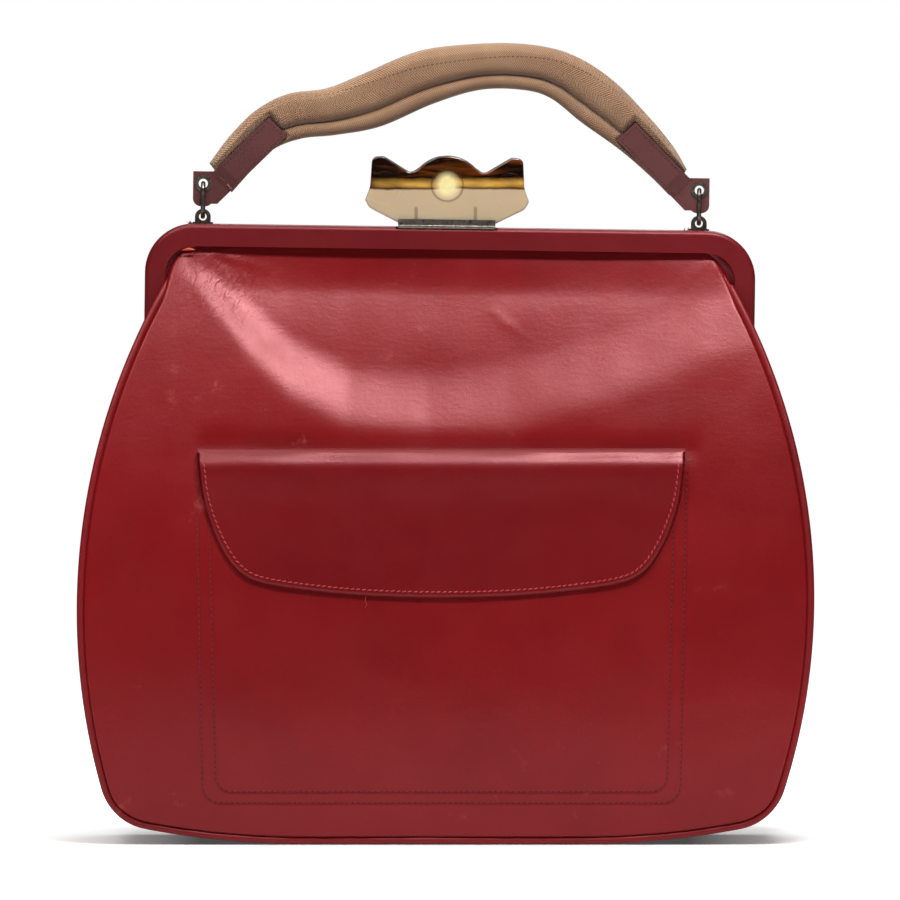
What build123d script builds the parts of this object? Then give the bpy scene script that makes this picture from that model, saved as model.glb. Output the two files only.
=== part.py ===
from build123d import *
import os
from math import cos, radians, sin, sqrt

# A framed leather handbag: a bell-shaped red leather body on a hinged metal frame
# covered in leather, closed by a tip-over clasp with an acetate ornament, and carried
# by a padded tape handle on two oval links. +X is to the right, the front faces -Y and
# +Z is up. The origin is on the floor under the middle of the body. All in millimetres.

# Body, seen from the front: each side is one long arc, the base is flat in its middle
HALF_WIDTH = 180.9
WIDEST_Z = 118.0
SIDE_RADIUS = 320.0
BASE_FLAT_HALF = 70.0
BASE_CORNER_Z = 10.8
BASE_CORNER_RADIUS = 28.0
PANEL_TOP_Z = 294.0

# Body, seen from the side: front and back are arcs that meet the frame at the top
HALF_DEPTH = 55.5
DEEPEST_Z = 63.0
DEPTH_RADIUS = 557.0

# The bag leans a little to the right, more with height
LEAN_DEG = 0.8
BASE_X = -1.65

# Leather, edging and lining
PANEL_THICK = 1.8
WELT_WIDTH = 3.4
WELT_PROUD = 0.8
WELT_DEPTH = 3.4
WELT_TOP_Z = 272.0
EDGE_GAP = 0.1
GUSSET_THICK = 1.6
GUSSET_INSET = 1.0
GUSSET_TOP_Z = 240.0
BOARD_THICK = 2.5
BOARD_HALF_LENGTH = 128.0
BOARD_HALF_DEPTH = 45.0
LINING_THICK = 0.8
LINING_INSET = 5.6
LINING_DEPTH_INSET = 9.6

# Pocket in the front panel, with its flap
POCKET_X = -2.0
POCKET_HALF_WIDTH = 119.0
POCKET_TOP_Z = 194.0
POCKET_BOTTOM_Z = 19.0
POCKET_CORNER = 16.0
POCKET_DEPTH = 5.6
POCKET_WALL = 0.9
SLOT_HALF_WIDTH = 110.0
SLOT_BOTTOM_Z = 183.0
SLOT_TOP_Z = 189.0
FLAP_ROLL_Z = 191.4
FLAP_HALF_WIDTH = 120.0
FLAP_CORNER = 14.0
FLAP_THICK = 2.0
FLAP_ROLL_RADIUS = 2.2
FLAP_GAP = 0.4

# Frame: two inverted U halves that turn on one pair of rivets
FRAME_WIDTH = 300.8
FRAME_TOP = 302.0
FRAME_CORNER = 24.0
FRAME_DEPTH = 11.0
FRAME_LEG = 10.0
FRAME_BAR = 11.0
FRAME_EDGE_ROUND = 2.5
COVER_THICK = 1.2
CORE_THICK = 1.0
HALF_GAP = 0.2
LEG_BOTTOM = 246.0
PIN_HEIGHT = 238.0
PLATE_RADIUS = 6.0
PLATE_STEP = 1.5
RIVET_RADIUS = 1.6
RUNNING_GAP = 0.05
RIVET_HEAD_RADIUS = 3.0
RIVET_HEAD_THICK = 0.9

# The upper front panel moves with the front half: the cut that frees it is a cylinder
# about the rivets and two upright lines, so it clears the lower panel at every angle
SWING_CUT_RADIUS = 36.0
SWING_CUT_HALF = 152.5
SWING_GAP = 0.2

# Clasp: ornament in a channel that tips forward on a barrel hinge
CLASP_X = -2.0
CLASP_HALF = 24.0
BARREL_Y = -8.9
BARREL_HEIGHT = 302.2
BARREL_RADIUS = 1.5
CLASP_PIN_RADIUS = 0.7
KNUCKLE_HALF = 4.3
SEAT_HEIGHT = 300.6
SEAT_BACK_Y = -6.2
CHANNEL_Y = -7.0
CHANNEL_HALF_DEPTH = 3.35
CHANNEL_WALL = 0.75
CHANNEL_BOTTOM = 303.0
CHANNEL_TOP = 305.8
ORNAMENT_THICK = 5.0
ORNAMENT_BOTTOM = 304.0
ORNAMENT_SPLIT = 321.0
ORNAMENT_ROUND = 1.4
BOSS_RADIUS = 7.8
BOSS_HEIGHT = 322.7
BOSS_PROUD = 0.8
SIDE_BOSS_X = 31.0
ORNAMENT_PIN_X = 14.7
ORNAMENT_PIN_RADIUS = 0.7
ORNAMENT_PIN_TOP = 311.5
ORNAMENT_PIN_BOTTOM = 303.4
SIDE_BOSS_PROUD = 0.35
CLASP_PLATE_THICK = 0.8
KNUCKLE_GAP = 0.15
TONGUE_HALF = 7.0
TONGUE_THICK = 0.8
TONGUE_BOTTOM = 303.2
TONGUE_BACK_Y = 5.6
NOSE_THICK = 0.9
NOSE_CLEARANCE = 0.25
KEEPER_FRONT_Y = 1.0
KEEPER_BACK_Y = 8.5
KEEPER_THICK = 0.5
KEEPER_BEAD_RADIUS = 0.6
KEEPER_BEAD_Y = 4.2
KEEPER_BEAD_TOP = 302.85

# Lugs, links, eyelets
LUG_X = 122.4
LUG_Y = 4.0
LUG_HEIGHT = 305.4
LUG_RADIUS = 3.9
LUG_HOLE_RADIUS = 1.9
LUG_THICK = 2.0
LUG_FOOT_HALF = 5.0
LUG_FOOT_DEPTH_HALF = 3.0
LUG_FOOT_THICK = 0.8
LINK_WIRE_RADIUS = 1.1
LINK_TURN_RADIUS = 3.7
LINK_TOP = 321.9
EYELET_HEIGHT = 321.8
EYELET_RADIUS = 4.1
EYELET_HOLE_RADIUS = 2.3
EYELET_FLANGE = 0.5

# Handle: two padded rolls side by side in one tape, leather tabs in the valley
ROLL_RADIUS = 6.1
ROLL_SPREAD = 5.8
PADDING_RADIUS = 4.7
WEB_HALF = 2.0
HANDLE_PATH = [
    (-115.0, 325.6), (-82.0, 357.6), (-50.0, 360.0), (0.0, 382.0), (50.0, 384.5), (114.5, 324.0),
]
HANDLE_BENDS = [38.0, 60.0, 75.0, 42.0]
TAB_THICK = 1.5
TAB_INNER = 0.25
TAB_HALF_WIDTH = 6.4
TAB_LENGTH = 40.0
TAB_SLOPE_DEG = 45.0
TAB_RISE = 3.0
TAB_FLAT_REACH = 7.0
TAB_RAMP_REACH = 14.0
TAB_END_BOTTOM = 310.5
TAB_END_HALF = 5.0
TAB_END_TOP = 327.8
TAB_ORIGIN_X = 118.4
TAB_ORIGIN_HEIGHT = 317.8

FAR = 400.0


def prism_y(face, y0, y1):
    """A face drawn in (x, z), given thickness from y0 to y1."""
    return Pos(0, y1, 0) * extrude(Plane.XZ * face, amount=y1 - y0, dir=(0, -1, 0))


def prism_x(face, x0, x1):
    """A face drawn in (y, z), given thickness from x0 to x1."""
    return Pos(x0, 0, 0) * extrude(Plane.YZ * face, amount=x1 - x0, dir=(1, 0, 0))


def block(x0, x1, y0, y1, z0, z1):
    return Pos((x0 + x1) / 2, (y0 + y1) / 2, (z0 + z1) / 2) * Box(x1 - x0, y1 - y0, z1 - z0)


def rod_x(radius, x0, x1, y, z):
    return Pos((x0 + x1) / 2, y, z) * Rot(0, 90, 0) * Cylinder(radius, x1 - x0)


def rod_y(radius, x, y0, y1, z):
    return Pos(x, (y0 + y1) / 2, z) * Rot(90, 0, 0) * Cylinder(radius, y1 - y0)


def mirror_x(shape):
    return mirror(shape, about=Plane.YZ)


def mirror_y(shape):
    return mirror(shape, about=Plane.XZ)


def seated(shape):
    """Put a piece of the frame, drawn upright about its own middle, on the leaning bag."""
    return Pos(BASE_X, 0, 0) * Rot(0, LEAN_DEG, 0) * shape


def leaned(x, z):
    """A point of the body's front view, moved over as far as its height makes it lean."""
    turn = sin(radians(LEAN_DEG))
    return (BASE_X + x + turn * z, z - turn * x * z / FRAME_TOP)


def side_x(z):
    return HALF_WIDTH - SIDE_RADIUS + sqrt(SIDE_RADIUS ** 2 - (z - WIDEST_Z) ** 2)


def front_y(z):
    """Distance of the panels' outer face from the middle plane."""
    return HALF_DEPTH - DEPTH_RADIUS + sqrt(DEPTH_RADIUS ** 2 - (z - DEEPEST_Z) ** 2)


def outline(inset=0.0):
    """The body's front view, drawn smaller by the inset."""
    flat_left = (BASE_X - BASE_FLAT_HALF, 0)
    flat_right = (BASE_X + BASE_FLAT_HALF, 0)
    edges = [Line(flat_left, flat_right)]
    for sign, flat in ((1, flat_right), (-1, flat_left)):
        corner = leaned(sign * side_x(BASE_CORNER_Z), BASE_CORNER_Z)
        widest = leaned(sign * HALF_WIDTH, WIDEST_Z)
        top = leaned(sign * side_x(PANEL_TOP_Z), PANEL_TOP_Z)
        edges.append(TangentArc(flat, corner, tangent=(sign, 0)))
        edges.append(ThreePointArc(corner, widest, top))
    edges.append(Line(edges[2] @ 1, edges[4] @ 1))
    face = make_face(edges)
    corners = face.vertices().filter_by(
        lambda v: abs(v.Y - BASE_CORNER_Z) < 2 and abs(v.X) > BASE_FLAT_HALF + 20
    )
    face = fillet(corners, BASE_CORNER_RADIUS)
    return offset(face, amount=-inset, kind=Kind.INTERSECTION) if inset else face


def side_roller(sign, inset):
    """The great cylinder whose skin is the front (-1) or back (+1) of the bag."""
    centre_y = sign * (HALF_DEPTH - DEPTH_RADIUS)
    return rod_x(DEPTH_RADIUS - inset, -FAR, FAR, centre_y, DEEPEST_Z)


def skin(sign, outer, inner):
    """A curved sheet on one face of the bag, from one depth to another."""
    sheet = side_roller(sign, outer) - side_roller(sign, inner)
    if sign < 0:
        return sheet & block(-FAR, FAR, -FAR, -1, -5, FAR)
    return sheet & block(-FAR, FAR, 1, FAR, -5, FAR)


def between_skins(inset):
    return side_roller(-1, inset) & side_roller(1, inset)


def edge_ring(outer, inner):
    return prism_y(outline(outer), -FAR / 4, FAR / 4) - prism_y(outline(inner), -FAR / 4, FAR / 4)


def above(z):
    return block(-FAR, FAR, -FAR / 2, FAR / 2, z, FAR)


def panel(sign):
    """One broad leather panel: inside the edging low down, full width at the shoulders."""
    low = prism_y(outline(WELT_WIDTH + EDGE_GAP), -FAR / 4, FAR / 4)
    high = prism_y(outline(), -FAR / 4, FAR / 4) & above(WELT_TOP_Z + EDGE_GAP)
    return skin(sign, 0, PANEL_THICK) & (low + high)


def welt(sign):
    """The turned leather edging that frames a panel."""
    bead = skin(sign, -WELT_PROUD, WELT_DEPTH - WELT_PROUD) & edge_ring(0, WELT_WIDTH)
    return bead - above(WELT_TOP_Z)


def swing_zone(gap):
    """The space of the upper front that turns with the front half of the frame."""
    half = SWING_CUT_HALF + gap
    high = block(-half, half, -FAR / 4, 0, PIN_HEIGHT, FAR)
    low = rod_x(SWING_CUT_RADIUS + gap, -half, half, 0, PIN_HEIGHT)
    return seated(high + low)


def pocket_prism(inset, top):
    width = 2 * (POCKET_HALF_WIDTH - inset)
    low = POCKET_BOTTOM_Z + inset
    plan = Pos(POCKET_X, (low + top) / 2) * Rectangle(width, top - low)
    plan = fillet(plan.vertices().group_by(Axis.Y)[0], POCKET_CORNER - inset)
    return prism_y(plan, -FAR / 4, 0)


def pocket_slot():
    return block(
        POCKET_X - SLOT_HALF_WIDTH, POCKET_X + SLOT_HALF_WIDTH,
        -FAR / 4, -1, SLOT_BOTTOM_Z, SLOT_TOP_Z,
    )


def pocket_backing():
    """The pocket's inner wall, a shallow tray sewn behind the panel."""
    back = PANEL_THICK + POCKET_DEPTH
    tray = skin(-1, PANEL_THICK, back + POCKET_WALL) & pocket_prism(0, POCKET_TOP_Z)
    return tray - (skin(-1, 0, back) & pocket_prism(POCKET_WALL, POCKET_TOP_Z - POCKET_WALL))


def flap_outline():
    """The pocket flap: straight top, sides that sweep in, a shallow point at the middle."""
    top, side, corner = (FLAP_HALF_WIDTH, FLAP_ROLL_Z), (112.5, 156.0), (95.0, 127.0)
    foot, point = (50.0, 122.9), (0.0, 121.0)
    edges = []
    for sign in (-1, 1):
        pts = [(POCKET_X + sign * x, z) for x, z in (top, side, corner, foot, point)]
        edges.append(ThreePointArc(pts[0], pts[1], pts[2]))
        edges.append(ThreePointArc(pts[2], pts[3], pts[4]))
    edges.append(Line(edges[0] @ 0, edges[2] @ 0))
    face = make_face(edges)
    corners = face.vertices().filter_by(lambda v: abs(v.Y - corner[1]) < 0.01)
    return fillet(corners, FLAP_CORNER)


def pocket_flap():
    """A leather flap folded over the top of the pocket slot."""
    roll_y = -front_y(FLAP_ROLL_Z) - FLAP_GAP - FLAP_ROLL_RADIUS
    sheet = skin(-1, -FLAP_GAP - FLAP_THICK, -FLAP_GAP) & prism_y(flap_outline(), -FAR / 4, 0)
    roll = rod_x(
        FLAP_ROLL_RADIUS, POCKET_X - FLAP_HALF_WIDTH, POCKET_X + FLAP_HALF_WIDTH,
        roll_y, FLAP_ROLL_Z,
    )
    return sheet + roll


def lining():
    """The inner bag, open at the top below the hinge."""
    outer = prism_y(outline(LINING_INSET), -FAR / 4, FAR / 4) & between_skins(LINING_DEPTH_INSET)
    hollow = prism_y(outline(LINING_INSET + LINING_THICK), -FAR / 4, FAR / 4)
    hollow = hollow & between_skins(LINING_DEPTH_INSET + LINING_THICK)
    dip = seated(rod_x(SWING_CUT_RADIUS + 1, -FAR / 2, FAR / 2, 0, PIN_HEIGHT))
    return outer - hollow - dip - above(PIN_HEIGHT - SWING_CUT_RADIUS / 2)


def gusset():
    """One strip of leather that makes both sides and the bottom."""
    strip = edge_ring(GUSSET_INSET, GUSSET_INSET + GUSSET_THICK)
    strip = strip & between_skins(WELT_DEPTH - WELT_PROUD)
    return strip - above(GUSSET_TOP_Z)


def base_board():
    top = GUSSET_INSET + GUSSET_THICK
    layer = edge_ring(top, top + BOARD_THICK)
    reach = block(
        BASE_X - BOARD_HALF_LENGTH, BASE_X + BOARD_HALF_LENGTH,
        -BOARD_HALF_DEPTH, BOARD_HALF_DEPTH, -1, 40,
    )
    return layer & reach


def frame_face(inset):
    """The outline of one frame half, an upright slab with two rounded shoulders."""
    width = FRAME_WIDTH - 2 * inset
    top = FRAME_TOP - inset
    slab = Pos(0, (top + LEG_BOTTOM) / 2) * Rectangle(width, top - LEG_BOTTOM)
    return fillet(slab.vertices().group_by(Axis.Y)[-1], FRAME_CORNER - inset)


def frame_mouth():
    """The open middle of a frame half, under the bar and between the legs."""
    top = FRAME_TOP - FRAME_BAR
    low = LEG_BOTTOM - 1
    slab = Pos(0, (top + low) / 2) * Rectangle(FRAME_WIDTH - 2 * FRAME_LEG, top - low)
    slab = fillet(slab.vertices().group_by(Axis.Y)[-1], FRAME_CORNER - FRAME_LEG)
    return prism_y(slab, -FAR / 4, FAR / 4)


def clasp_seat():
    """The notch in the front half's edge where the barrel sits."""
    half = CLASP_HALF + 1
    return block(
        CLASP_X - half, CLASP_X + half, -FRAME_DEPTH - 1, SEAT_BACK_Y, SEAT_HEIGHT, FRAME_TOP + 1
    )


def frame_cover():
    """The leather over one half's face, top and outer sides, drawn for the front."""
    body = prism_y(frame_face(0), -FRAME_DEPTH, -HALF_GAP)
    front_edges = body.edges().group_by(Axis.Y)[0]
    front_edges = front_edges.filter_by(lambda e: e.center().Z > LEG_BOTTOM + 1)
    outer = fillet(front_edges, FRAME_EDGE_ROUND)
    hollow = prism_y(frame_face(COVER_THICK), -FRAME_DEPTH + COVER_THICK, 1)
    below = block(-FAR, FAR, -FAR, FAR, LEG_BOTTOM - COVER_THICK - 1, LEG_BOTTOM)
    return outer - hollow - below - frame_mouth()


def frame_channel():
    """The metal inside one half: an angle of a front web and an outer flange."""
    front = -FRAME_DEPTH + COVER_THICK
    solid = prism_y(frame_face(COVER_THICK), front, -HALF_GAP)
    hollow = prism_y(frame_face(COVER_THICK + CORE_THICK), front + CORE_THICK, 1)
    return (solid - hollow - frame_mouth()) & above(LEG_BOTTOM)


def hinge_plate(inner_x, outer_x):
    """The ear at a leg's lower end, round about the rivet, drawn for the front half."""
    leg = Pos((-FRAME_DEPTH + COVER_THICK - HALF_GAP) / 2, LEG_BOTTOM + 2)
    leg = leg * Rectangle(FRAME_DEPTH - COVER_THICK - HALF_GAP, 4)
    ear = make_hull([*leg.edges(), *(Pos(0, PIN_HEIGHT) * Circle(PLATE_RADIUS)).edges()])
    clear_of_back = block(inner_x - 1, outer_x + 1, -HALF_GAP, 20, PIN_HEIGHT + PLATE_RADIUS, FAR)
    return prism_x(ear, inner_x, outer_x) - clear_of_back


def frame_core(back):
    """One half's channel with its two ears; the back half's ears step inward."""
    outer_x = FRAME_WIDTH / 2 - COVER_THICK
    inner_x = outer_x - CORE_THICK
    core = frame_channel()
    if back:
        ear = hinge_plate(inner_x - PLATE_STEP, outer_x - PLATE_STEP)
        step = block(
            inner_x - PLATE_STEP, outer_x, -FRAME_DEPTH + COVER_THICK, -2,
            LEG_BOTTOM + 0.5, LEG_BOTTOM + 4,
        )
        ear = ear + step
        hole = RIVET_RADIUS
    else:
        ear = hinge_plate(inner_x, outer_x)
        hole = RIVET_RADIUS + RUNNING_GAP
    core = core + ear + mirror_x(ear)
    core = core - rod_x(hole, -FAR, FAR, 0, PIN_HEIGHT)
    return mirror_y(core) if back else core - clasp_seat()


def hinge_rivet():
    """The right-hand rivet: a shank through both ears with a head on each end."""
    outer_x = FRAME_WIDTH / 2 - COVER_THICK
    inner_x = outer_x - CORE_THICK - PLATE_STEP
    outer_head = outer_x + 2 * RUNNING_GAP
    shank = rod_x(RIVET_RADIUS, inner_x - 0.1, outer_head + 0.1, 0, PIN_HEIGHT)
    inside = rod_x(RIVET_HEAD_RADIUS, inner_x - RIVET_HEAD_THICK, inner_x, 0, PIN_HEIGHT)
    outside = rod_x(RIVET_HEAD_RADIUS, outer_head, outer_head + RIVET_HEAD_THICK, 0, PIN_HEIGHT)
    return shank + inside + outside


def clasp_base():
    """The plate on the front half's top, with the middle knuckle of the barrel."""
    plate = block(
        CLASP_X - CLASP_HALF + 2, CLASP_X + CLASP_HALF - 2, SEAT_BACK_Y, -0.7,
        FRAME_TOP, FRAME_TOP + CLASP_PLATE_THICK,
    )
    neck = block(
        CLASP_X - KNUCKLE_HALF, CLASP_X + KNUCKLE_HALF, BARREL_Y, SEAT_BACK_Y + 0.5,
        FRAME_TOP, FRAME_TOP + CLASP_PLATE_THICK,
    )
    knuckle = rod_x(
        BARREL_RADIUS, CLASP_X - KNUCKLE_HALF, CLASP_X + KNUCKLE_HALF, BARREL_Y, BARREL_HEIGHT
    )
    bore = rod_x(CLASP_PIN_RADIUS, -FAR, FAR, BARREL_Y, BARREL_HEIGHT)
    return plate + neck + knuckle - bore


def clasp_pin():
    return rod_x(
        CLASP_PIN_RADIUS, CLASP_X - CLASP_HALF, CLASP_X + CLASP_HALF, BARREL_Y, BARREL_HEIGHT
    )


def clasp_channel():
    """The U channel that grips the ornament, its two long knuckles and its tongue."""
    left, right = CLASP_X - CLASP_HALF, CLASP_X + CLASP_HALF
    front, back = CHANNEL_Y - CHANNEL_HALF_DEPTH, CHANNEL_Y + CHANNEL_HALF_DEPTH
    trough = block(left, right, front, back, CHANNEL_BOTTOM, CHANNEL_TOP)
    inside = block(
        left - 1, right + 1, front + CHANNEL_WALL, back - CHANNEL_WALL,
        CHANNEL_BOTTOM + CHANNEL_WALL, CHANNEL_TOP + 1,
    )
    body = trough - inside
    gap = KNUCKLE_HALF + KNUCKLE_GAP
    body += rod_x(BARREL_RADIUS, left, CLASP_X - gap, BARREL_Y, BARREL_HEIGHT)
    body += rod_x(BARREL_RADIUS, CLASP_X + gap, right, BARREL_Y, BARREL_HEIGHT)
    body -= rod_x(
        BARREL_RADIUS + KNUCKLE_GAP, CLASP_X - gap, CLASP_X + gap, BARREL_Y, BARREL_HEIGHT
    )
    tongue_top = TONGUE_BOTTOM + TONGUE_THICK
    body += block(
        CLASP_X - TONGUE_HALF, CLASP_X + TONGUE_HALF, back - CHANNEL_WALL / 2, TONGUE_BACK_Y,
        TONGUE_BOTTOM, tongue_top,
    )
    body += block(
        CLASP_X - TONGUE_HALF, CLASP_X + TONGUE_HALF, TONGUE_BACK_Y - NOSE_THICK, TONGUE_BACK_Y,
        KEEPER_BEAD_TOP + NOSE_CLEARANCE, tongue_top,
    )
    body -= rod_x(CLASP_PIN_RADIUS + RUNNING_GAP, -FAR, FAR, BARREL_Y, BARREL_HEIGHT)
    return body - ornament_pins()


def clasp_keeper():
    """The plate on the back half with the bead that the tongue's nose snaps over."""
    plate = block(
        CLASP_X - TONGUE_HALF - 4, CLASP_X + TONGUE_HALF + 4, KEEPER_FRONT_Y, KEEPER_BACK_Y,
        FRAME_TOP, FRAME_TOP + KEEPER_THICK,
    )
    bead = rod_x(
        KEEPER_BEAD_RADIUS, CLASP_X - TONGUE_HALF - 1, CLASP_X + TONGUE_HALF + 1,
        KEEPER_BEAD_Y, KEEPER_BEAD_TOP - KEEPER_BEAD_RADIUS,
    )
    return plate + (bead & above(FRAME_TOP))


def ornament_outline():
    """A shell-like plate: waisted foot, full hips, two ears and a dome between them."""
    foot, hip, bulge = (24.0, ORNAMENT_BOTTOM), (38.4, 311.2), (40.4, 315.0)
    waist, ear_side, ear_top = (38.0, 321.5), (37.2, 336.4), (31.5, 336.8)
    valley, dome_side, dome_top = (17.9, 328.6), (13.6, 331.6), (0.0, 337.4)
    corners = [foot, hip, bulge, waist, ear_side, ear_top, valley, dome_side]
    edges = []
    for sign in (1, -1):
        pts = [(CLASP_X + sign * x, z) for x, z in corners]
        edges += [Line(a, b) for a, b in zip(pts, pts[1:])]
    side_r, side_l = edges[6] @ 1, edges[13] @ 1
    edges.append(ThreePointArc(side_r, (CLASP_X + dome_top[0], dome_top[1]), side_l))
    edges.append(Line(edges[0] @ 0, edges[7] @ 0))
    face = make_face(edges)
    for corner, radius in ((hip, 5.0), (waist, 8.0), (ear_side, 3.2), (ear_top, 2.5), (valley, 3.5)):
        picked = face.vertices().filter_by(
            lambda v: abs(abs(v.X - CLASP_X) - corner[0]) < 0.01 and abs(v.Y - corner[1]) < 0.01
        )
        face = fillet(picked, radius)
    return face


def ornament():
    """The whole acetate plate with its round boss and two side bosses."""
    front = CHANNEL_Y - ORNAMENT_THICK / 2
    back = CHANNEL_Y + ORNAMENT_THICK / 2
    plate = prism_y(ornament_outline(), front, back)
    rim = plate.edges().filter_by(
        lambda e: abs(abs(e.center().Y - CHANNEL_Y) - ORNAMENT_THICK / 2) < 0.01
        and e.center().Z > ORNAMENT_BOTTOM + 0.5
    )
    plate = fillet(rim, ORNAMENT_ROUND)
    ball = (BOSS_RADIUS ** 2 + BOSS_PROUD ** 2) / (2 * BOSS_PROUD)
    dome = Pos(CLASP_X, front + ball - BOSS_PROUD, BOSS_HEIGHT) * Sphere(ball)
    plate += dome & block(-FAR, FAR, front - 2, front + 0.5, ORNAMENT_BOTTOM, FAR)
    for sign in (-1, 1):
        x = CLASP_X + sign * SIDE_BOSS_X
        side = rod_y(BOSS_RADIUS, x, front - SIDE_BOSS_PROUD, front + 0.5, ORNAMENT_SPLIT)
        plate += side & prism_y(offset(ornament_outline(), amount=-1.5), front - 1, back)
    return plate


def ornament_pins():
    """Two short metal pins that hold the ornament in the channel."""
    middle = (ORNAMENT_PIN_BOTTOM + ORNAMENT_PIN_TOP) / 2
    pin = Cylinder(ORNAMENT_PIN_RADIUS, ORNAMENT_PIN_TOP - ORNAMENT_PIN_BOTTOM)
    right = Pos(CLASP_X + ORNAMENT_PIN_X, CHANNEL_Y, middle) * pin
    return right + Pos(CLASP_X - ORNAMENT_PIN_X, CHANNEL_Y, middle) * pin


def lug():
    """A pierced ear on a small foot, drawn for the right side on the back half."""
    ear = rod_y(LUG_RADIUS, LUG_X, LUG_Y - LUG_THICK / 2, LUG_Y + LUG_THICK / 2, LUG_HEIGHT)
    stem = block(
        LUG_X - LUG_RADIUS, LUG_X + LUG_RADIUS, LUG_Y - LUG_THICK / 2, LUG_Y + LUG_THICK / 2,
        FRAME_TOP, LUG_HEIGHT,
    )
    foot = block(
        LUG_X - LUG_FOOT_HALF, LUG_X + LUG_FOOT_HALF,
        LUG_Y - LUG_FOOT_DEPTH_HALF, LUG_Y + LUG_FOOT_DEPTH_HALF,
        FRAME_TOP, FRAME_TOP + LUG_FOOT_THICK,
    )
    hole = rod_y(LUG_HOLE_RADIUS, LUG_X, 0, 10, LUG_HEIGHT)
    return (ear & above(FRAME_TOP)) + stem + foot - hole


def link():
    """An oval wire link that stands in the plane of the swing, through lug and eyelet."""
    low = LUG_HEIGHT + LINK_TURN_RADIUS
    high = LINK_TOP - LINK_TURN_RADIUS
    slot = SlotCenterToCenter(high - low, 2 * LINK_TURN_RADIUS)
    path = Plane.YZ * (Pos(LUG_Y, (low + high) / 2) * Rot(0, 0, 90) * slot).wire()
    section = Plane(origin=path @ 0, z_dir=path % 0) * Circle(LINK_WIRE_RADIUS)
    return Pos(LUG_X, 0, 0) * sweep(section, path=path)


def handle_sweep(sections):
    """Sweep sections given by their distance from the handle's middle line."""
    path = Plane.XZ * FilletPolyline(HANDLE_PATH, radius=HANDLE_BENDS)
    start = Plane(origin=path @ 0, x_dir=(0, 1, 0), z_dir=path % 0)
    solid = sweep(start * sections[0], path=path)
    for shape in sections[1:]:
        solid = solid + sweep(start * shape, path=path)
    return Pos(0, LUG_Y, 0) * solid


def handle_padding():
    rolls = [Pos(0, sign * ROLL_SPREAD) * Circle(PADDING_RADIUS) for sign in (-1, 1)]
    return handle_sweep(rolls) - tab_beds(ROLL_RADIUS - PADDING_RADIUS)


def handle_tape():
    """The woven tape round both rolls, joined along the valley."""
    rolls = [Pos(0, sign * ROLL_SPREAD) * Circle(ROLL_RADIUS) for sign in (-1, 1)]
    web = Rectangle(2 * WEB_HALF, 2 * ROLL_SPREAD)
    tape = handle_sweep([rolls[0] + web + rolls[1]]) - handle_padding()
    return tape - tab_beds(0)


def tab_outline():
    """A leather tab, drawn for the right end: a strip up the valley, turned down at its end."""
    strip = Pos(TAB_ORIGIN_X, TAB_ORIGIN_HEIGHT) * Rot(0, 0, 180 - TAB_SLOPE_DEG)
    strip = strip * Pos(TAB_LENGTH / 2, 0) * Rectangle(TAB_LENGTH + 12, 2 * TAB_HALF_WIDTH)
    end = Pos(LUG_X, (TAB_END_BOTTOM + TAB_END_TOP) / 2)
    end = end * Rectangle(2 * TAB_END_HALF, TAB_END_TOP - TAB_END_BOTTOM)
    end = fillet(end.vertices().group_by(Axis.Y)[0], TAB_END_HALF - 1)
    keep = Pos(LUG_X - 50 + TAB_END_HALF, EYELET_HEIGHT + 40) * Rectangle(100, 100)
    return (strip & keep) + end


def tab_sheet(side, thick, sink=0.0):
    """The bent sheet a tab is cut from: flat at the eyelet, raised where it rides the rolls."""
    low, high, far = TAB_INNER - sink, TAB_RISE - sink, 70.0
    profile = Polyline(
        (-20, low), (TAB_FLAT_REACH, low), (TAB_RAMP_REACH, high), (far, high),
        (far, high + thick), (TAB_RAMP_REACH - 1, high + thick),
        (TAB_FLAT_REACH - 1, low + thick), (-20, low + thick), (-20, low),
    )
    along = radians(180 - TAB_SLOPE_DEG)
    plane = Plane(
        origin=(TAB_ORIGIN_X, LUG_Y, TAB_ORIGIN_HEIGHT),
        x_dir=(cos(along), 0, sin(along)), z_dir=(sin(along), 0, -cos(along)),
    )
    sheet = extrude(plane * make_face(profile), amount=40, both=True)
    if side > 0:
        return sheet
    return Pos(0, 2 * LUG_Y, 0) * mirror_y(sheet)


def tab(side):
    """One tab of the right end, in front (-1) or behind (+1)."""
    body = prism_y(tab_outline(), LUG_Y - 10, LUG_Y + 10) & tab_sheet(side, TAB_THICK)
    body = body.solids().sort_by(SortBy.VOLUME)[-1]
    neck = EYELET_HOLE_RADIUS + EYELET_FLANGE
    return body - rod_y(neck, LUG_X, LUG_Y - 10, LUG_Y + 10, EYELET_HEIGHT)


def tab_beds(sink):
    """The room that the four tabs press into the rolls."""
    plan = prism_y(tab_outline(), LUG_Y - 20, LUG_Y + 20)
    right = plan & (tab_sheet(-1, 15, sink) + tab_sheet(1, 15, sink))
    return right + mirror_x(right)


def eyelet():
    """A rolled grommet through both tabs."""
    half = TAB_INNER + TAB_THICK
    neck = EYELET_HOLE_RADIUS + EYELET_FLANGE
    barrel = rod_y(neck, LUG_X, LUG_Y - half, LUG_Y + half, EYELET_HEIGHT)
    rims = [
        rod_y(EYELET_RADIUS, LUG_X, LUG_Y + half, LUG_Y + half + EYELET_FLANGE, EYELET_HEIGHT),
        rod_y(EYELET_RADIUS, LUG_X, LUG_Y - half - EYELET_FLANGE, LUG_Y - half, EYELET_HEIGHT),
    ]
    hole = rod_y(EYELET_HOLE_RADIUS, LUG_X, LUG_Y - 10, LUG_Y + 10, EYELET_HEIGHT)
    return barrel + rims[0] + rims[1] - hole


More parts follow.
